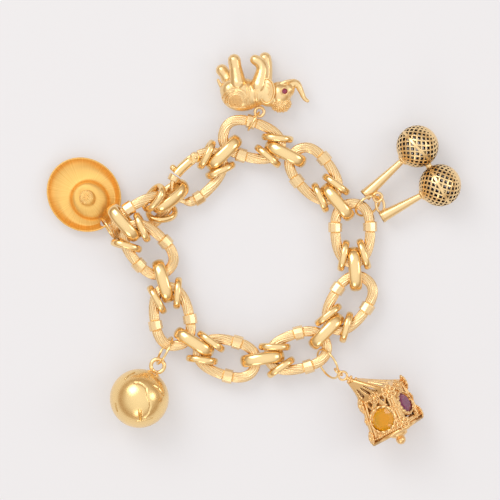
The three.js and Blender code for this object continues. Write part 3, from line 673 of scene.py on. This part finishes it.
bands = [
    [(1.5 + 0.12 * math.sin(t), y) for t, y in zip(np.linspace(0, 3, 22), np.linspace(-4.4, 4.0, 22))],
    [(2.3, y) for y in np.linspace(-4.3, 4.0, 22)],
    [(3.9, y) for y in np.linspace(-3.6, 3.4, 20)],
    [(4.6, y) for y in np.linspace(-3.1, 3.0, 20)],
    medallionArc(2.7, 2.7, -0.2, 3.3, 36),
    medallionArc(3.2, 3.2, -0.2, 3.3, 36),
    medallionArc(4.1, 4.0, 0.2, 2.9, 36),
    [(x, -3.9 + 0.02 * x * x) for x in np.linspace(-3.6, 1.2, 20)],
]
for path in bands:
    elephantPieces.append(overBody(path, elephantSettings["bandWire"]))
elephantPieces.append(overBody(medallionArc(2.1, 2.0, 0, 2 * math.pi, 40), 0.2))
earRim = earLine(1, 3.55, 0.45, 0, 2 * math.pi, 48)
elephantPieces.append(wirePath("ear_rim", earRim, 0.26, gold["charm"], elephantOrigin, closed=True))
for share in (0.35, 0.62):
    fold = earLine(share, 3.95, 0.3, -1.2, 1.6, 24)
    elephantPieces.append(wirePath("ear_fold", fold, 0.16, gold["charm"], elephantOrigin))


def studs(name, places, radius, material):
    bm = bmesh.new()
    for place in places:
        spot = Matrix.Translation(Vector(place) * mm)
        bmesh.ops.create_icosphere(bm, subdivisions=2, radius=radius * mm, matrix=spot)
    mesh = bpy.data.meshes.new(name)
    bm.to_mesh(mesh)
    bm.free()
    mesh.materials.append(material)
    smoothShade(mesh)
    obj = linked(name, mesh)
    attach(obj, "bracelet")
    return obj


stipple = []
for r, a in sunflower(150, 1.85):
    x = elephantSettings["medallionAt"][0] + r * 1.05 * math.cos(a)
    y = elephantSettings["medallionAt"][1] + r * math.sin(a)
    stipple.append(elephantOrigin + arr(x, y, bodyTop(x, y, 0.06)))
elephantPieces.append(studs("stipple", stipple, 0.14, gold["charm"]))
curls = []
for k in range(90):
    a, b = k * goldenAngle, 1 - (k + 0.5) / 90 * 0.95
    s = math.sqrt(1 - b * b)
    curls.append(elephantOrigin + arr(11.6 + 3.0 * s * math.cos(a), -2.7 + 2.5 * s * math.sin(a), 2.7 * b))
headdress = [curl for curl in curls if curl[1] < elephantOrigin[1] - 1.6]
elephantPieces.append(studs("headdress", headdress, 0.32, gold["charm"]))
collet = [(1.3, -0.5), (1.3, 0.25), (1.05, 0.45), (0.85, 0.3), (0.8, -0.3)]
eyePlace = level(elephantOrigin + arr(12.7, 0.9, 3.2))
elephantPieces.append(lathePart("eye_collet", collet, 36, gold["charm"], eyePlace))
loopPath = circlePath(arr(2.85, 41.3, 4.4) + cadShift, 1.35, 39)
elephantPieces.append(wirePath("back_loop", loopPath, 0.45, gold["charm"], closed=True))
elephantWhole = joinObjects(elephantPieces, "fine_elephant")
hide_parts("elephant")
print("elephant")


# The hat

hatSettings = {
    "squeeze": 0.906, "turn": -45.0, "crownShift": (1.8, -1.65), "segments": 150,
    "holeAt": (5.75, -8.5), "holeRadius": 0.95, "studRadius": 0.17,
}
hatProfile = [
    (0.001, 7.0), (0.8, 6.95), (1.5, 6.85), (2.1, 6.55), (2.4, 6.1), (2.55, 5.75), (2.9, 5.62),
    (3.8, 5.55), (4.6, 5.3), (5.2, 4.85), (5.55, 4.2), (5.75, 3.4), (5.85, 2.6), (6.1, 1.9), (6.6, 1.5),
    (7.4, 1.28), (8.4, 1.15), (9.2, 1.25), (9.9, 1.65), (10.5, 2.2), (10.95, 2.75), (11.25, 3.1),
    (11.5, 3.2), (11.68, 3.05), (11.7, 2.75), (11.6, 2.3), (11.3, 1.75), (10.9, 1.2), (10.4, 0.75),
    (9.8, 0.3), (9.2, 0.02), (8.4, 0.0), (7.2, 0.2), (6.4, 0.45), (5.6, 0.9), (5.15, 1.6), (5.0, 2.6),
    (4.8, 3.8), (4.3, 4.4), (3.4, 4.6), (2, 4.75), (0.001, 4.8),
]


def hatMaterial():
    material, tree, shader = newMaterial("brushed gold")
    shader.inputs["Metallic"].default_value = 1.0
    shader.inputs["Roughness"].default_value = 0.52
    coordinates = tree.nodes.new("ShaderNodeTexCoord")
    gradient = tree.nodes.new("ShaderNodeTexGradient")
    gradient.gradient_type = "RADIAL"
    tree.links.new(coordinates.outputs["Object"], gradient.inputs["Vector"])
    noise = tree.nodes.new("ShaderNodeTexNoise")
    noise.noise_dimensions = "1D"
    noise.inputs["Scale"].default_value = 150.0
    noise.inputs["Detail"].default_value = 4.0
    tree.links.new(gradient.outputs["Fac"], noise.inputs["W"])
    ramp = tree.nodes.new("ShaderNodeValToRGB")
    ramp.color_ramp.elements[0].position = 0.3
    ramp.color_ramp.elements[0].color = (0.86, 0.53, 0.15, 1)
    ramp.color_ramp.elements[1].position = 0.7
    ramp.color_ramp.elements[1].color = (0.96, 0.64, 0.23, 1)
    tree.links.new(noise.outputs["Fac"], ramp.inputs["Fac"])
    tree.links.new(ramp.outputs["Color"], shader.inputs["Base Color"])
    bump = tree.nodes.new("ShaderNodeBump")
    bump.inputs["Strength"].default_value = 0.35
    bump.inputs["Distance"].default_value = 0.0002
    tree.links.new(noise.outputs["Fac"], bump.inputs["Height"])
    tree.links.new(bump.outputs["Normal"], shader.inputs["Normal"])
    return material


def risen(value, low, high):
    share = np.clip((value - low) / (high - low), 0, 1)
    return share ** 2 * (3 - 2 * share)


def hatGrid(profile):
    x, y, z = np.moveaxis(spun(profile, hatSettings["segments"]), -1, 0)
    y = y * hatSettings["squeeze"]
    turn = math.radians(hatSettings["turn"])
    x, y = x * math.cos(turn) - y * math.sin(turn), x * math.sin(turn) + y * math.cos(turn)
    lean = (1 - risen(np.hypot(x, y), 6.2, 10.6)) * (1 - 0.55 * risen(z, 4, 7))
    shiftX, shiftY = hatSettings["crownShift"]
    return np.stack([x + shiftX * lean, y + shiftY * lean, z], -1)


hatPlace = nodeMiddle("hat") * arr(1, 1, 0)
hatObject = gridObject("fine_hat", hatGrid(smoothCurve(hatProfile, 4)), False, hatMaterial())
hatObject.location = Vector(hatPlace) * mm
holeProfile = [(hatSettings["holeRadius"], -4), (hatSettings["holeRadius"], 8)]
holeCutter = lathePart("hole_cutter", holeProfile, 32, gold["charm"], None)
holeCutter.location = Vector(hatPlace + arr(*hatSettings["holeAt"], 0)) * mm
bpy.context.view_layer.update()
cut = hatObject.modifiers.new("hole", "BOOLEAN")
cut.operation = "DIFFERENCE"
cut.object = holeCutter
applyModifiers(hatObject)
bpy.data.objects.remove(holeCutter)
smoothShade(hatObject.data)
buttonStuds = []
for r, a in sunflower(110, 2.05):
    x = 0.45 * hatSettings["crownShift"][0] + r * math.cos(a)
    y = 0.45 * hatSettings["crownShift"][1] + r * math.sin(a)
    buttonStuds.append(hatPlace + arr(x, y, 6.98 - 0.12 * r ** 2))
hatStuds = studs("hat_button", buttonStuds, hatSettings["studRadius"], gold["polished"])
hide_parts("hat")
print("hat")


# The maracas

maracaSettings = {
    "radius": 6.3, "around": 18, "rows": 7, "wall": 0.55, "low": 0.05, "high": 1.15, "rib": 0.36,
    "band": 0.06, "capFrom": 1.12, "capTo": 1.5707, "eyeWire": 0.8,
}
maracaSpecs = [
    {"ball": arr(50.04, 30.96, 6.3) + cadShift, "end": arr(34.7, 16.6, 4.6) + cadShift},
    {"ball": arr(56.76, 19.35, 6.3) + cadShift, "end": arr(39.6, 10.0, 4.6) + cadShift},
]


def axisFrame(origin, direction):
    z = unit(direction)
    x = unit(np.cross(z, arr(0.31, 0.17, 1.0)))
    return turned(origin, x, np.cross(z, x), z)


def lattice(name, transform):
    around, rows, radius = maracaSettings["around"], maracaSettings["rows"], maracaSettings["radius"]
    low, high, rib = maracaSettings["low"], maracaSettings["high"], maracaSettings["rib"]
    inner = radius - maracaSettings["wall"]

    def place(i, j, side):
        latitude, angle = low + (high - low) * i / rows, math.pi * j / around
        across = math.cos(latitude)
        return arr(across * math.cos(angle), across * math.sin(angle), side * math.sin(latitude))

    verts, faces, paintedShadeFaces = [], [], []
    for side in (1, -1):
        for i in range(0, rows + 1):
            for j in range(2 * around):
                if (i + j) % 2 == 0:
                    continue
                steps = ((i, j - 1), (max(i - 1, 0), j), (i, j + 1), (min(i + 1, rows), j))
                corners = [place(row, column, side) for row, column in steps]
                middle = unit(sum(corners))
                wide = np.linalg.norm(corners[0] - corners[2]) * radius / 2
                share = 1 - rib / wide if i < rows else 0.02
                hole = [unit(middle + (c - middle) * share) for c in corners]
                first = len(verts)
                for ring, reach in ((corners, radius), (hole, radius), (hole, inner), (corners, inner)):
                    verts += [c * reach for c in ring]
                for k in range(4):
                    n = (k + 1) % 4
                    for depth in range(3):
                        here = first + 4 * depth
                        paintedShadeFaces.append(depth > 0)
                        faces.append((here + k, here + n, here + 4 + n, here + 4 + k))
    obj = meshObject(name, verts, faces, gold["charm"], transform, smooth=False)
    # The hole walls and the inner face get the dark material: painted shade inside the hollow ball
    obj.data.materials.append(gold["dark"])
    if len(obj.data.polygons) == len(paintedShadeFaces):
        obj.data.polygons.foreach_set("material_index", [int(value) for value in paintedShadeFaces])
    return obj


def shellBand(name, low, high, transform, segments=96, rows=8):
    radius, wall = maracaSettings["radius"], maracaSettings["wall"]
    lat = np.linspace(low, high, rows)
    outer = [(radius * math.cos(a), radius * math.sin(a)) for a in lat]
    inner = [((radius - wall) * math.cos(a), (radius - wall) * math.sin(a)) for a in lat[::-1]]
    loop = [(max(r, 0.001), z) for r, z in outer + inner]
    return gridObject(name, spun(loop, segments), True, gold["charm"], transform)


maracaPieces = []
for spec in maracaSpecs:
    ballFrame = axisFrame(spec["ball"], spec["end"] - spec["ball"])
    band, capFrom, capTo = maracaSettings["band"], maracaSettings["capFrom"], maracaSettings["capTo"]
    maracaPieces.append(lattice("lattice", ballFrame))
    maracaPieces.append(shellBand("equator", -band, band, ballFrame))
    maracaPieces.append(shellBand("cap", capFrom, capTo, ballFrame))
    maracaPieces.append(shellBand("cap", -capTo, -capFrom, ballFrame))
    reach = float(np.linalg.norm(spec["end"] - spec["ball"]))
    start = maracaSettings["radius"] - 0.45
    profile = [
        (0.001, start), (1.6, start), (1.65, start + 0.5), (1.2, start + 0.75), (0.95, start + 1.2),
        (1.75, reach - 0.5), (1.85, reach - 0.35), (1.85, reach), (1.5, reach), (1.35, reach - 0.4),
        (0.85, reach - 6.8), (0.001, reach - 7),
    ]
    maracaPieces.append(lathePart("handle", smoothCurve(profile, 3), 48, gold["charm"], ballFrame))
firstBall, secondBall = [spec["ball"] for spec in maracaSpecs]
bridgeFrame = axisFrame((firstBall + secondBall) / 2, secondBall - firstBall)
bridge = [(0.001, -1.1), (1.2, -1.0), (0.9, 0), (1.2, 1.0), (0.001, 1.1)]
maracaPieces.append(lathePart("bridge", bridge, 24, gold["charm"], bridgeFrame))
maracaEyes = ((arr(38.2, 15.8, 5.4), 3.4, 3.4, 0), (arr(38.9, 13.6, 3.9), 5.6, 3.2, 100))
for centre, length, width, turn in maracaEyes:
    a = math.radians(turn)
    across, along = (math.cos(a), math.sin(a), 0), (-math.sin(a), math.cos(a), 0)
    grid = roundWireRing(length, width, maracaSettings["eyeWire"], 48)
    maracaEyeFrame = turned(centre + cadShift, across, along, (0, 0, 1))
    maracaPieces.append(gridObject("maraca_eye", grid, True, gold["charm"], maracaEyeFrame))
maracasWhole = joinObjects(maracaPieces, "fine_maracas")
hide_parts("maracas")
print("maracas")


# The ball

ballSettings = {"radius": 8.8, "around": 220, "rows": 150, "grooveWidth": 0.16, "grooveDepth": 0.28,
                "slitHalf": 0.42, "slitEdge": 0.12, "slitDepth": 1.6, "photoPixel": 0.3}
ballCentre = arr(-33.0, -44.25, 8.8) + cadShift
ballEye = arr(-27.6, -34.6, 6.2) + cadShift
# Engraved lines and a slit, in photo pixels from the ball's middle, x right and y up
grooveLines = [
    [(-4, 16), (0.5, 16), (4, 14), (7.5, 10.5), (8, 5.5), (9, 1.5), (11, -2.5), (11.5, -7.5),
     (9, -14.5), (4, -19.5)],
    [(-2, -21.5), (5, -20.5), (13, -18.5)],
    [(-23, -4.5), (-22.4, -9), (-21.3, -12.5)],
    [(-20, -22.5), (-17, -24.5)],
    [(15, 13), (20, 10), (24, 4)],
    [(-14, 19), (-10, 23), (-4, 26)],
]


slitLine = [(1.2, -11.5), (1.5, -21.0)]


# Distances from the points of a unit sphere to each stretch of a line
def lineDistances(sphere, line):
    line = np.array(line, float) * ballSettings["photoPixel"] / ballSettings["radius"]
    for a, b in zip(line[:-1], line[1:]):
        ab = b - a
        t = np.clip(((sphere[..., :2] - a) @ ab) / (ab @ ab), 0, 1)
        yield np.linalg.norm(sphere[..., :2] - a - t[..., None] * ab, axis=-1) * ballSettings["radius"]


def ballVerts():
    s = ballSettings
    theta = np.linspace(0, math.pi, s["rows"])[1:-1]
    sphere = spun(np.stack([np.sin(theta), np.cos(theta)], -1), s["around"])
    upper = sphere[..., 2] > 0
    groove = np.zeros(sphere.shape[:2])
    for line in grooveLines:
        for distance in lineDistances(sphere, line):
            groove = np.maximum(groove, np.exp(-(distance / s["grooveWidth"]) ** 2) * upper)
    distance = next(lineDistances(sphere, slitLine))
    slit = np.clip((s["slitHalf"] - distance) / s["slitEdge"], 0, 1) * upper
    r = s["radius"] - s["grooveDepth"] * groove - s["slitDepth"] * slit
    return sphere * r[..., None]


ballPieces = [gridObject("ball_shell", ballVerts(), False, gold["satin"], level(ballCentre))]
capFrame = axisFrame(ballCentre, ballEye - ballCentre)
capProfile = [
    (0.001, 8.3), (2.3, 8.3), (2.35, 8.55), (2.0, 8.8), (1.5, 9.0), (1.3, 9.3), (1.25, 9.6), (0.001, 9.7)]
ballPieces.append(lathePart("cap", smoothCurve(capProfile, 3), 48, gold["polished"], capFrame))
eyePath = circlePath(ballEye, 2.0, 55)
ballPieces.append(wirePath("ball_eye", eyePath, 0.6, gold["polished"], closed=True))
ballWhole = joinObjects(ballPieces, "fine_ball")
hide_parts("ball")
print("ball")


# The gem cage: roof, posts, straps, rosettes, scalloped bezels and faceted stones

cageSettings = {
    "across": (0.87, 0.49, 0.0), "roll": 16.0, "level": 8.9, "base": (43.6, -52.6, 8.2), "eaves": 7.2,
    "roofTop": (30.6, -39.2), "roofFoot": (39.4, -42.7), "roofReach": (0.9, 7.5), "roofThickness": 0.7,
    "roofSteps": 44, "roofAcross": 36, "leafAt": 0.60, "leafHalf": (0.25, 0.085), "leaves": (0.2, 0.5, 0.8),
    "post": 0.42, "rail": 0.62, "teeth": 14, "toothHeight": 0.55,
}


def cageSpot(x, y):
    return arr(x, y, cageSettings["level"]) + cadShift


def cageSection(x, y, reach):
    across = unit(arr(*cageSettings["across"]))
    corners = []
    for k in range(4):
        angle = math.pi / 2 - math.radians(cageSettings["roll"]) + k * math.pi / 2
        corners.append(cageSpot(x, y) + across * reach * math.cos(angle) + arr(0, 0, reach * math.sin(angle)))
    return np.array(corners)


eaves = cageSection(*cageSettings["roofFoot"], cageSettings["eaves"])
base = cageSection(*cageSettings["base"])
cageMiddle = cageSpot(41.5, -47.5)


def cagePanel(k):
    a, b, c, d = eaves[k], eaves[(k + 1) % 4], base[(k + 1) % 4], base[k]
    normal = unit(np.cross(b - a, d - a))
    if normal @ ((a + b + c + d) / 4 - cageMiddle) < 0:
        normal = -normal

    def at(s, t, lift=0.0):
        return (a * (1 - s) + b * s) * (1 - t) + (d * (1 - s) + c * s) * t + normal * lift
    return at, normal


def bar(points, radius, closed=False):
    return wirePath("bar", points, radius, gold["cage"], closed=closed, sides=3)


def strap(start, end, normal, width, thickness):
    side = np.cross(normal, unit(end - start))
    section = ((-1, -1), (1, -1), (1, 0.4), (0.6, 1), (-0.6, 1), (-1, 0.4))
    rows = [[point + side * x * width / 2 + normal * z * thickness / 2 for x, z in section]
            for point in (start, end)]
    return gridObject("strap", rows, False, gold["cage"], smooth=False)


def inLeaf(t, s):
    tall, wide = cageSettings["leafHalf"]
    return any(((t - cageSettings["leafAt"]) / tall) ** 2 + ((s - leaf) / wide) ** 2 < 1
               for leaf in cageSettings["leaves"])


def roofPiece():
    steps, across = cageSettings["roofSteps"], cageSettings["roofAcross"]
    low, high = cageSettings["roofReach"]
    verts, faces = [], []
    for i in range(steps + 1):
        t = i / steps
        reach = low + (high - low) * (0.80 * t + 0.20 * t ** 4)
        x, y = arr(*cageSettings["roofTop"]) * (1 - t) + arr(*cageSettings["roofFoot"]) * t
        corners = cageSection(x, y, reach)
        for k in range(4):
            verts += [corners[k] * (1 - s) + corners[(k + 1) % 4] * s for s in np.arange(across) / across]
    for i in range(steps):
        for j in range(4 * across):
            if not inLeaf((i + 0.5) / steps, (j % across + 0.5) / across):
                here, after, k = i * 4 * across, (i + 1) * 4 * across, (j + 1) % (4 * across)
                faces.append((here + j, after + j, after + k, here + k))
    obj = meshObject("roof", verts, faces, gold["cage"])
    thick = obj.modifiers.new("thick", "SOLIDIFY")
    thick.thickness = cageSettings["roofThickness"] * mm
    thick.offset = -1
    return applyModifiers(obj)


cagePieces = [roofPiece()]
rail = cageSettings["rail"]
for shape, radius in ((eaves, rail), (base, rail + 0.1), (cageSection(44.1, -53.8, 8.5), rail)):
    cagePieces.append(bar(shape, radius, closed=True))
basePlate = [cageSection(43.5, -52.6, 8.3), cageSection(44.0, -53.7, 8.3)]
cagePieces.append(gridObject("base_plate", basePlate, False, gold["cage"], smooth=False))


def rosette(centre, normal, size, petals=6):
    side = unit(np.cross(normal, arr(0.3, 0.2, 0.9)))
    other = np.cross(normal, side)

    def towards(a):
        return side * math.cos(a) + other * math.sin(a)

    pieces, places = [], []
    for k in range(petals):
        middle = centre + towards(2 * math.pi * k / petals) * size * 0.62
        ring = [middle + towards(t) * size * 0.30 + normal * 0.12 for t in anglesAround(11)]
        pieces.append(wirePath("petal", ring, size * 0.13, gold["cage"], closed=True, sides=2))
        places.append(middle + normal * 0.25)
    pieces.append(studs("seed", [centre + normal * 0.35], size * 0.34, gold["cage"]))
    pieces.append(studs("seeds", places, size * 0.13, gold["cage"]))
    return pieces


stones = [
    {"node": "citrine", "side": 0, "spot": (0.5, 0.63), "rx": 4.0, "ry": 3.5, "glass": citrineGlass},
    {"node": "amethyst", "side": 3, "spot": (0.5, 0.52), "rx": 3.6, "ry": 3.1, "glass": amethystGlass},
    {"node": "stone_below_1", "side": 1, "spot": (0.5, 0.56), "rx": 3.6, "ry": 3.1, "glass": amethystGlass},
    {"node": "stone_below_2", "side": 2, "spot": (0.5, 0.56), "rx": 3.6, "ry": 3.1, "glass": citrineGlass},
]


# Radius and height of each ring of points, and the share of a facet that it is turned by
stoneRings = (
    (0.30, -1.10, 0), (0.72, -0.72, 0.5), (1.0, 0.0, 0), (1.0, 0.16, 0), (0.84, 0.54, 0.5), (0.62, 0.90, 0))
# How far each ring of a bezel stands outside its stone, and its height
bezelRings = (
    (0.85, -0.95), (0.85, 0.1), (0.62, 0.55), (0.2, 0.75), (0.12, 0.45), (0.22, -0.2), (0.22, -0.95))
cupRings = ((1, -1.45), (1, -1.3), (0.05, -1.3))


def stoneFrame(stone):
    at, normal = cagePanel(stone["side"])
    across = unit(at(1, 0.5) - at(0, 0.5))
    return turned(at(*stone["spot"]), across, np.cross(normal, across), normal)


def ellipse(rx, ry, angles, height):
    return np.stack([rx * np.cos(angles), ry * np.sin(angles), height + 0 * angles], -1)


def facetedStone(stone, facets=16):
    rings = []
    for radius, height, shift in stoneRings:
        angles = (np.arange(facets) + shift) * 2 * math.pi / facets
        rings.append(ellipse(stone["rx"] * radius, stone["ry"] * radius, angles, height))
    return gridObject("fine_" + stone["node"], rings, False, stone["glass"], stoneFrame(stone), smooth=False)


def bezel(stone):
    angles = anglesAround(cageSettings["teeth"] * 8)
    tooth = cageSettings["toothHeight"] * np.abs(np.sin(angles * cageSettings["teeth"] / 2))
    rows = []
    for grow, height in bezelRings:
        lift = tooth if height > 0.3 else 0 * tooth
        inward = 0.45 * tooth if height > 0.3 and grow < 0.3 else 0 * tooth
        rx, ry = stone["rx"] + grow - inward, stone["ry"] + grow - inward
        rows.append(ellipse(rx, ry, angles, height + 0.5 * lift))
    return gridObject("bezel", rows, True, gold["cage"], stoneFrame(stone))


def cup(stone):
    rows = [ellipse((stone["rx"] + 0.3) * r, (stone["ry"] + 0.3) * r, anglesAround(40), z) for r, z in cupRings]
    return gridObject("cup", rows, False, gold["cage"], stoneFrame(stone))


for k in range(4):
    at, normal = cagePanel(k)
    for offset in (0.03, 0.11):
        cagePieces.append(bar([at(offset, 0.0, 0.15), at(offset, 1.0, 0.15)], cageSettings["post"]))
        cagePieces.append(bar([at(1 - offset, 0.0, 0.15), at(1 - offset, 1.0, 0.15)], cageSettings["post"]))
    stone = next(item for item in stones if item["side"] == k)
    t = stone["spot"][1]
    edgeNormal = unit(normal + cagePanel((k + 3) % 4)[1])
    for side in (-1, 1):
        cagePieces.append(strap(at(0.5 + 0.03 * side, 0.04), at(0.5 + 0.33 * side, t - 0.08), normal, 1.5, 0.8))
        cagePieces.append(strap(at(0.5 + 0.36 * side, 0.02), at(0.5 + 0.20 * side, 0.30), normal, 0.7, 0.6))
        cagePieces.append(strap(at(0.5 + 0.30 * side, t + 0.18), at(0.5 + 0.42 * side, 0.97), normal, 1.2, 0.7))
        cagePieces.append(bar([at(0.5 + 0.30 * side, t), at(0.5 + 0.42 * side, t)], 0.4))
    cagePieces.append(strap(at(0.36, 0.36), at(0.64, 0.36), normal, 0.9, 0.6))
    cagePieces.append(bezel(stone))
    cagePieces.append(cup(stone))
    cagePieces += rosette(at(0.5, 0.0, 0.55), normal, 1.9)
    cagePieces += rosette(at(0.0, 0.03, 0.35), edgeNormal, 2.3)
    cagePieces += rosette(at(0.0, 0.96, 0.35), edgeNormal, 2.1)
    cagePieces += rosette(at(0.24, 0.98, 0.3), normal, 1.1, 5)
    cagePieces += rosette(at(0.76, 0.98, 0.3), normal, 1.1, 5)
    cagePieces += rosette(at(0.02, 0.48, 0.3), edgeNormal, 1.4, 5)
    edge = [at(share, 0.0, 0.55) for share in np.linspace(0.05, 0.95, 15)]
    edge += [at(share, 1.03, 0.35) for share in np.linspace(0.03, 0.97, 17)]
    cagePieces.append(studs("edge_beads", edge, 0.38, gold["cage"]))
    fine = facetedStone(stone)
    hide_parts(stone["node"])


def beadCircle(transform, radius, height, count):
    return [inFrame(transform, point) for point in circlePath(arr(0, 0, height), radius, count)]


finialFrame = axisFrame(cageSpot(31.4, -39.5), arr(-2.5, 1.3, 0))
finial = [
    (0.001, -0.6), (1.2, -0.5), (1.15, 0.3), (0.85, 0.7), (0.9, 1.5), (0.7, 2.3), (0.6, 2.9), (0.001, 3.0)]
cagePieces.append(lathePart("finial", smoothCurve(finial, 3), 36, gold["cage"], finialFrame))
collarBeads = beadCircle(finialFrame, 1.2, 0.35, 10) + beadCircle(finialFrame, 1.0, 1.9, 10)
cagePieces.append(studs("collar_beads", collarBeads, 0.42, gold["cage"]))
finialLoop = circlePath(cageSpot(27.7, -37.5), 1.25, 35)
cagePieces.append(wirePath("finial_loop", finialLoop, 0.35, gold["cage"], closed=True))
footFrame = axisFrame(cageSpot(43.9, -53.4), arr(0.9, -2.4, 0))
foot = [
    (0.001, -0.2), (3.6, -0.1), (3.4, 0.6), (2.7, 1.2), (2.5, 1.9), (1.6, 2.4), (1.2, 2.7), (0.001, 2.8)]
cagePieces.append(lathePart("foot", smoothCurve(foot, 3), 40, gold["cage"], footFrame))
cagePieces.append(studs("foot_beads", beadCircle(footFrame, 3.3, 0.6, 16), 0.5, gold["cage"]))
cagePieces.append(studs("knob", [cageSpot(45.0, -56.5)], 1.5, gold["cage"]))
cageWhole = joinObjects(cagePieces, "fine_cage")
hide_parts("cage")

ruby = [ellipse(r, r, anglesAround(12), z) for r, z in ((0.35, -0.2), (0.75, 0.0), (0.5, 0.22))]
eyePlace = level(nodeMiddle("elephant_eye"))
eyeStone = gridObject("fine_eye", ruby, False, rubyGlass, eyePlace, smooth=False)
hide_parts("elephant_eye")
print("cage")


# The floor and the lights

stageSettings = {
    "floorSize": 2.4, "floorColour": (0.545, 0.542, 0.558), "world": 1.04,
    "glow": 0.50,
    "sky": (
        (0.0, (0.62, 0.50, 0.38)), (0.12, (0.44, 0.30, 0.18)), (0.40, (0.58, 0.48, 0.38)),
        (0.68, (0.88, 0.86, 0.84)), (1.0, (1.0, 1.0, 1.0)),
    ),
}

floorMaterial, _, floorShader = newMaterial("table")
floorShader.inputs["Base Color"].default_value = (*stageSettings["floorColour"], 1)
floorShader.inputs["Roughness"].default_value = 0.9
floorShader.inputs["Specular IOR Level"].default_value = 0.1
floorShader.inputs["Emission Color"].default_value = (*stageSettings["floorColour"], 1)
floorShader.inputs["Emission Strength"].default_value = stageSettings["glow"]
bpy.ops.mesh.primitive_plane_add(size=stageSettings["floorSize"], location=(0, 0, -0.0003))
floor = bpy.context.object
floor.name = "table"
floor.data.materials.append(floorMaterial)

world = bpy.data.worlds.new("studio")
bpy.context.scene.world = world
world.use_nodes = True
skyPlace = world.node_tree.nodes.new("ShaderNodeTexCoord")
skySplit = world.node_tree.nodes.new("ShaderNodeSeparateXYZ")
skyRamp = world.node_tree.nodes.new("ShaderNodeValToRGB")
world.node_tree.links.new(skyPlace.outputs["Generated"], skySplit.inputs["Vector"])
world.node_tree.links.new(skySplit.outputs["Z"], skyRamp.inputs["Fac"])
world.node_tree.links.new(skyRamp.outputs["Color"], world.node_tree.nodes["Background"].inputs["Color"])
stops = stageSettings["sky"]
for element, (place, colour) in zip(skyRamp.color_ramp.elements, (stops[0], stops[-1])):
    element.position, element.color = place, (*colour, 1)
for place, colour in stops[1:-1]:
    skyRamp.color_ramp.elements.new(place).color = (*colour, 1)
world.node_tree.nodes["Background"].inputs["Strength"].default_value = stageSettings["world"]


def areaLight(name, location, size, energy, colour=(1, 1, 1)):
    data = bpy.data.lights.new(name, "AREA")
    data.energy = energy
    data.color = colour
    data.size = size
    lamp = linked(name, data)
    lamp.location = location
    lamp.rotation_euler = (-Vector(location)).to_track_quat("-Z", "Y").to_euler()


bpy.context.scene.view_settings.view_transform = "Standard"
areaLight("key", (-0.45, 0.55, 0.75), 0.55, 2.6)
areaLight("fill", (0.75, 0.10, 0.55), 0.30, 0.7)
areaLight("low", (-0.10, -0.80, 0.45), 0.30, 0.7, (1.0, 0.97, 0.93))

cameraSettings = {"centre": (-0.00112, -0.00031), "width": 0.150, "distance": 1.5}
cameraData = bpy.data.cameras.new("camera")
cameraData.sensor_width = 36.0
cameraData.lens = 36.0 * cameraSettings["distance"] / cameraSettings["width"]
cameraData.clip_end = 10.0
camera = bpy.data.objects.new("camera", cameraData)
camera.location = (*cameraSettings["centre"], cameraSettings["distance"])
bpy.context.scene.collection.objects.link(camera)
bpy.context.scene.camera = camera

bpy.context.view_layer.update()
seen = [obj for obj in bpy.context.scene.objects if obj.type == "MESH" and not obj.hide_render]
total = sum(len(p.vertices) - 2 for obj in seen for p in obj.data.polygons)
print("finish", total, "triangles")
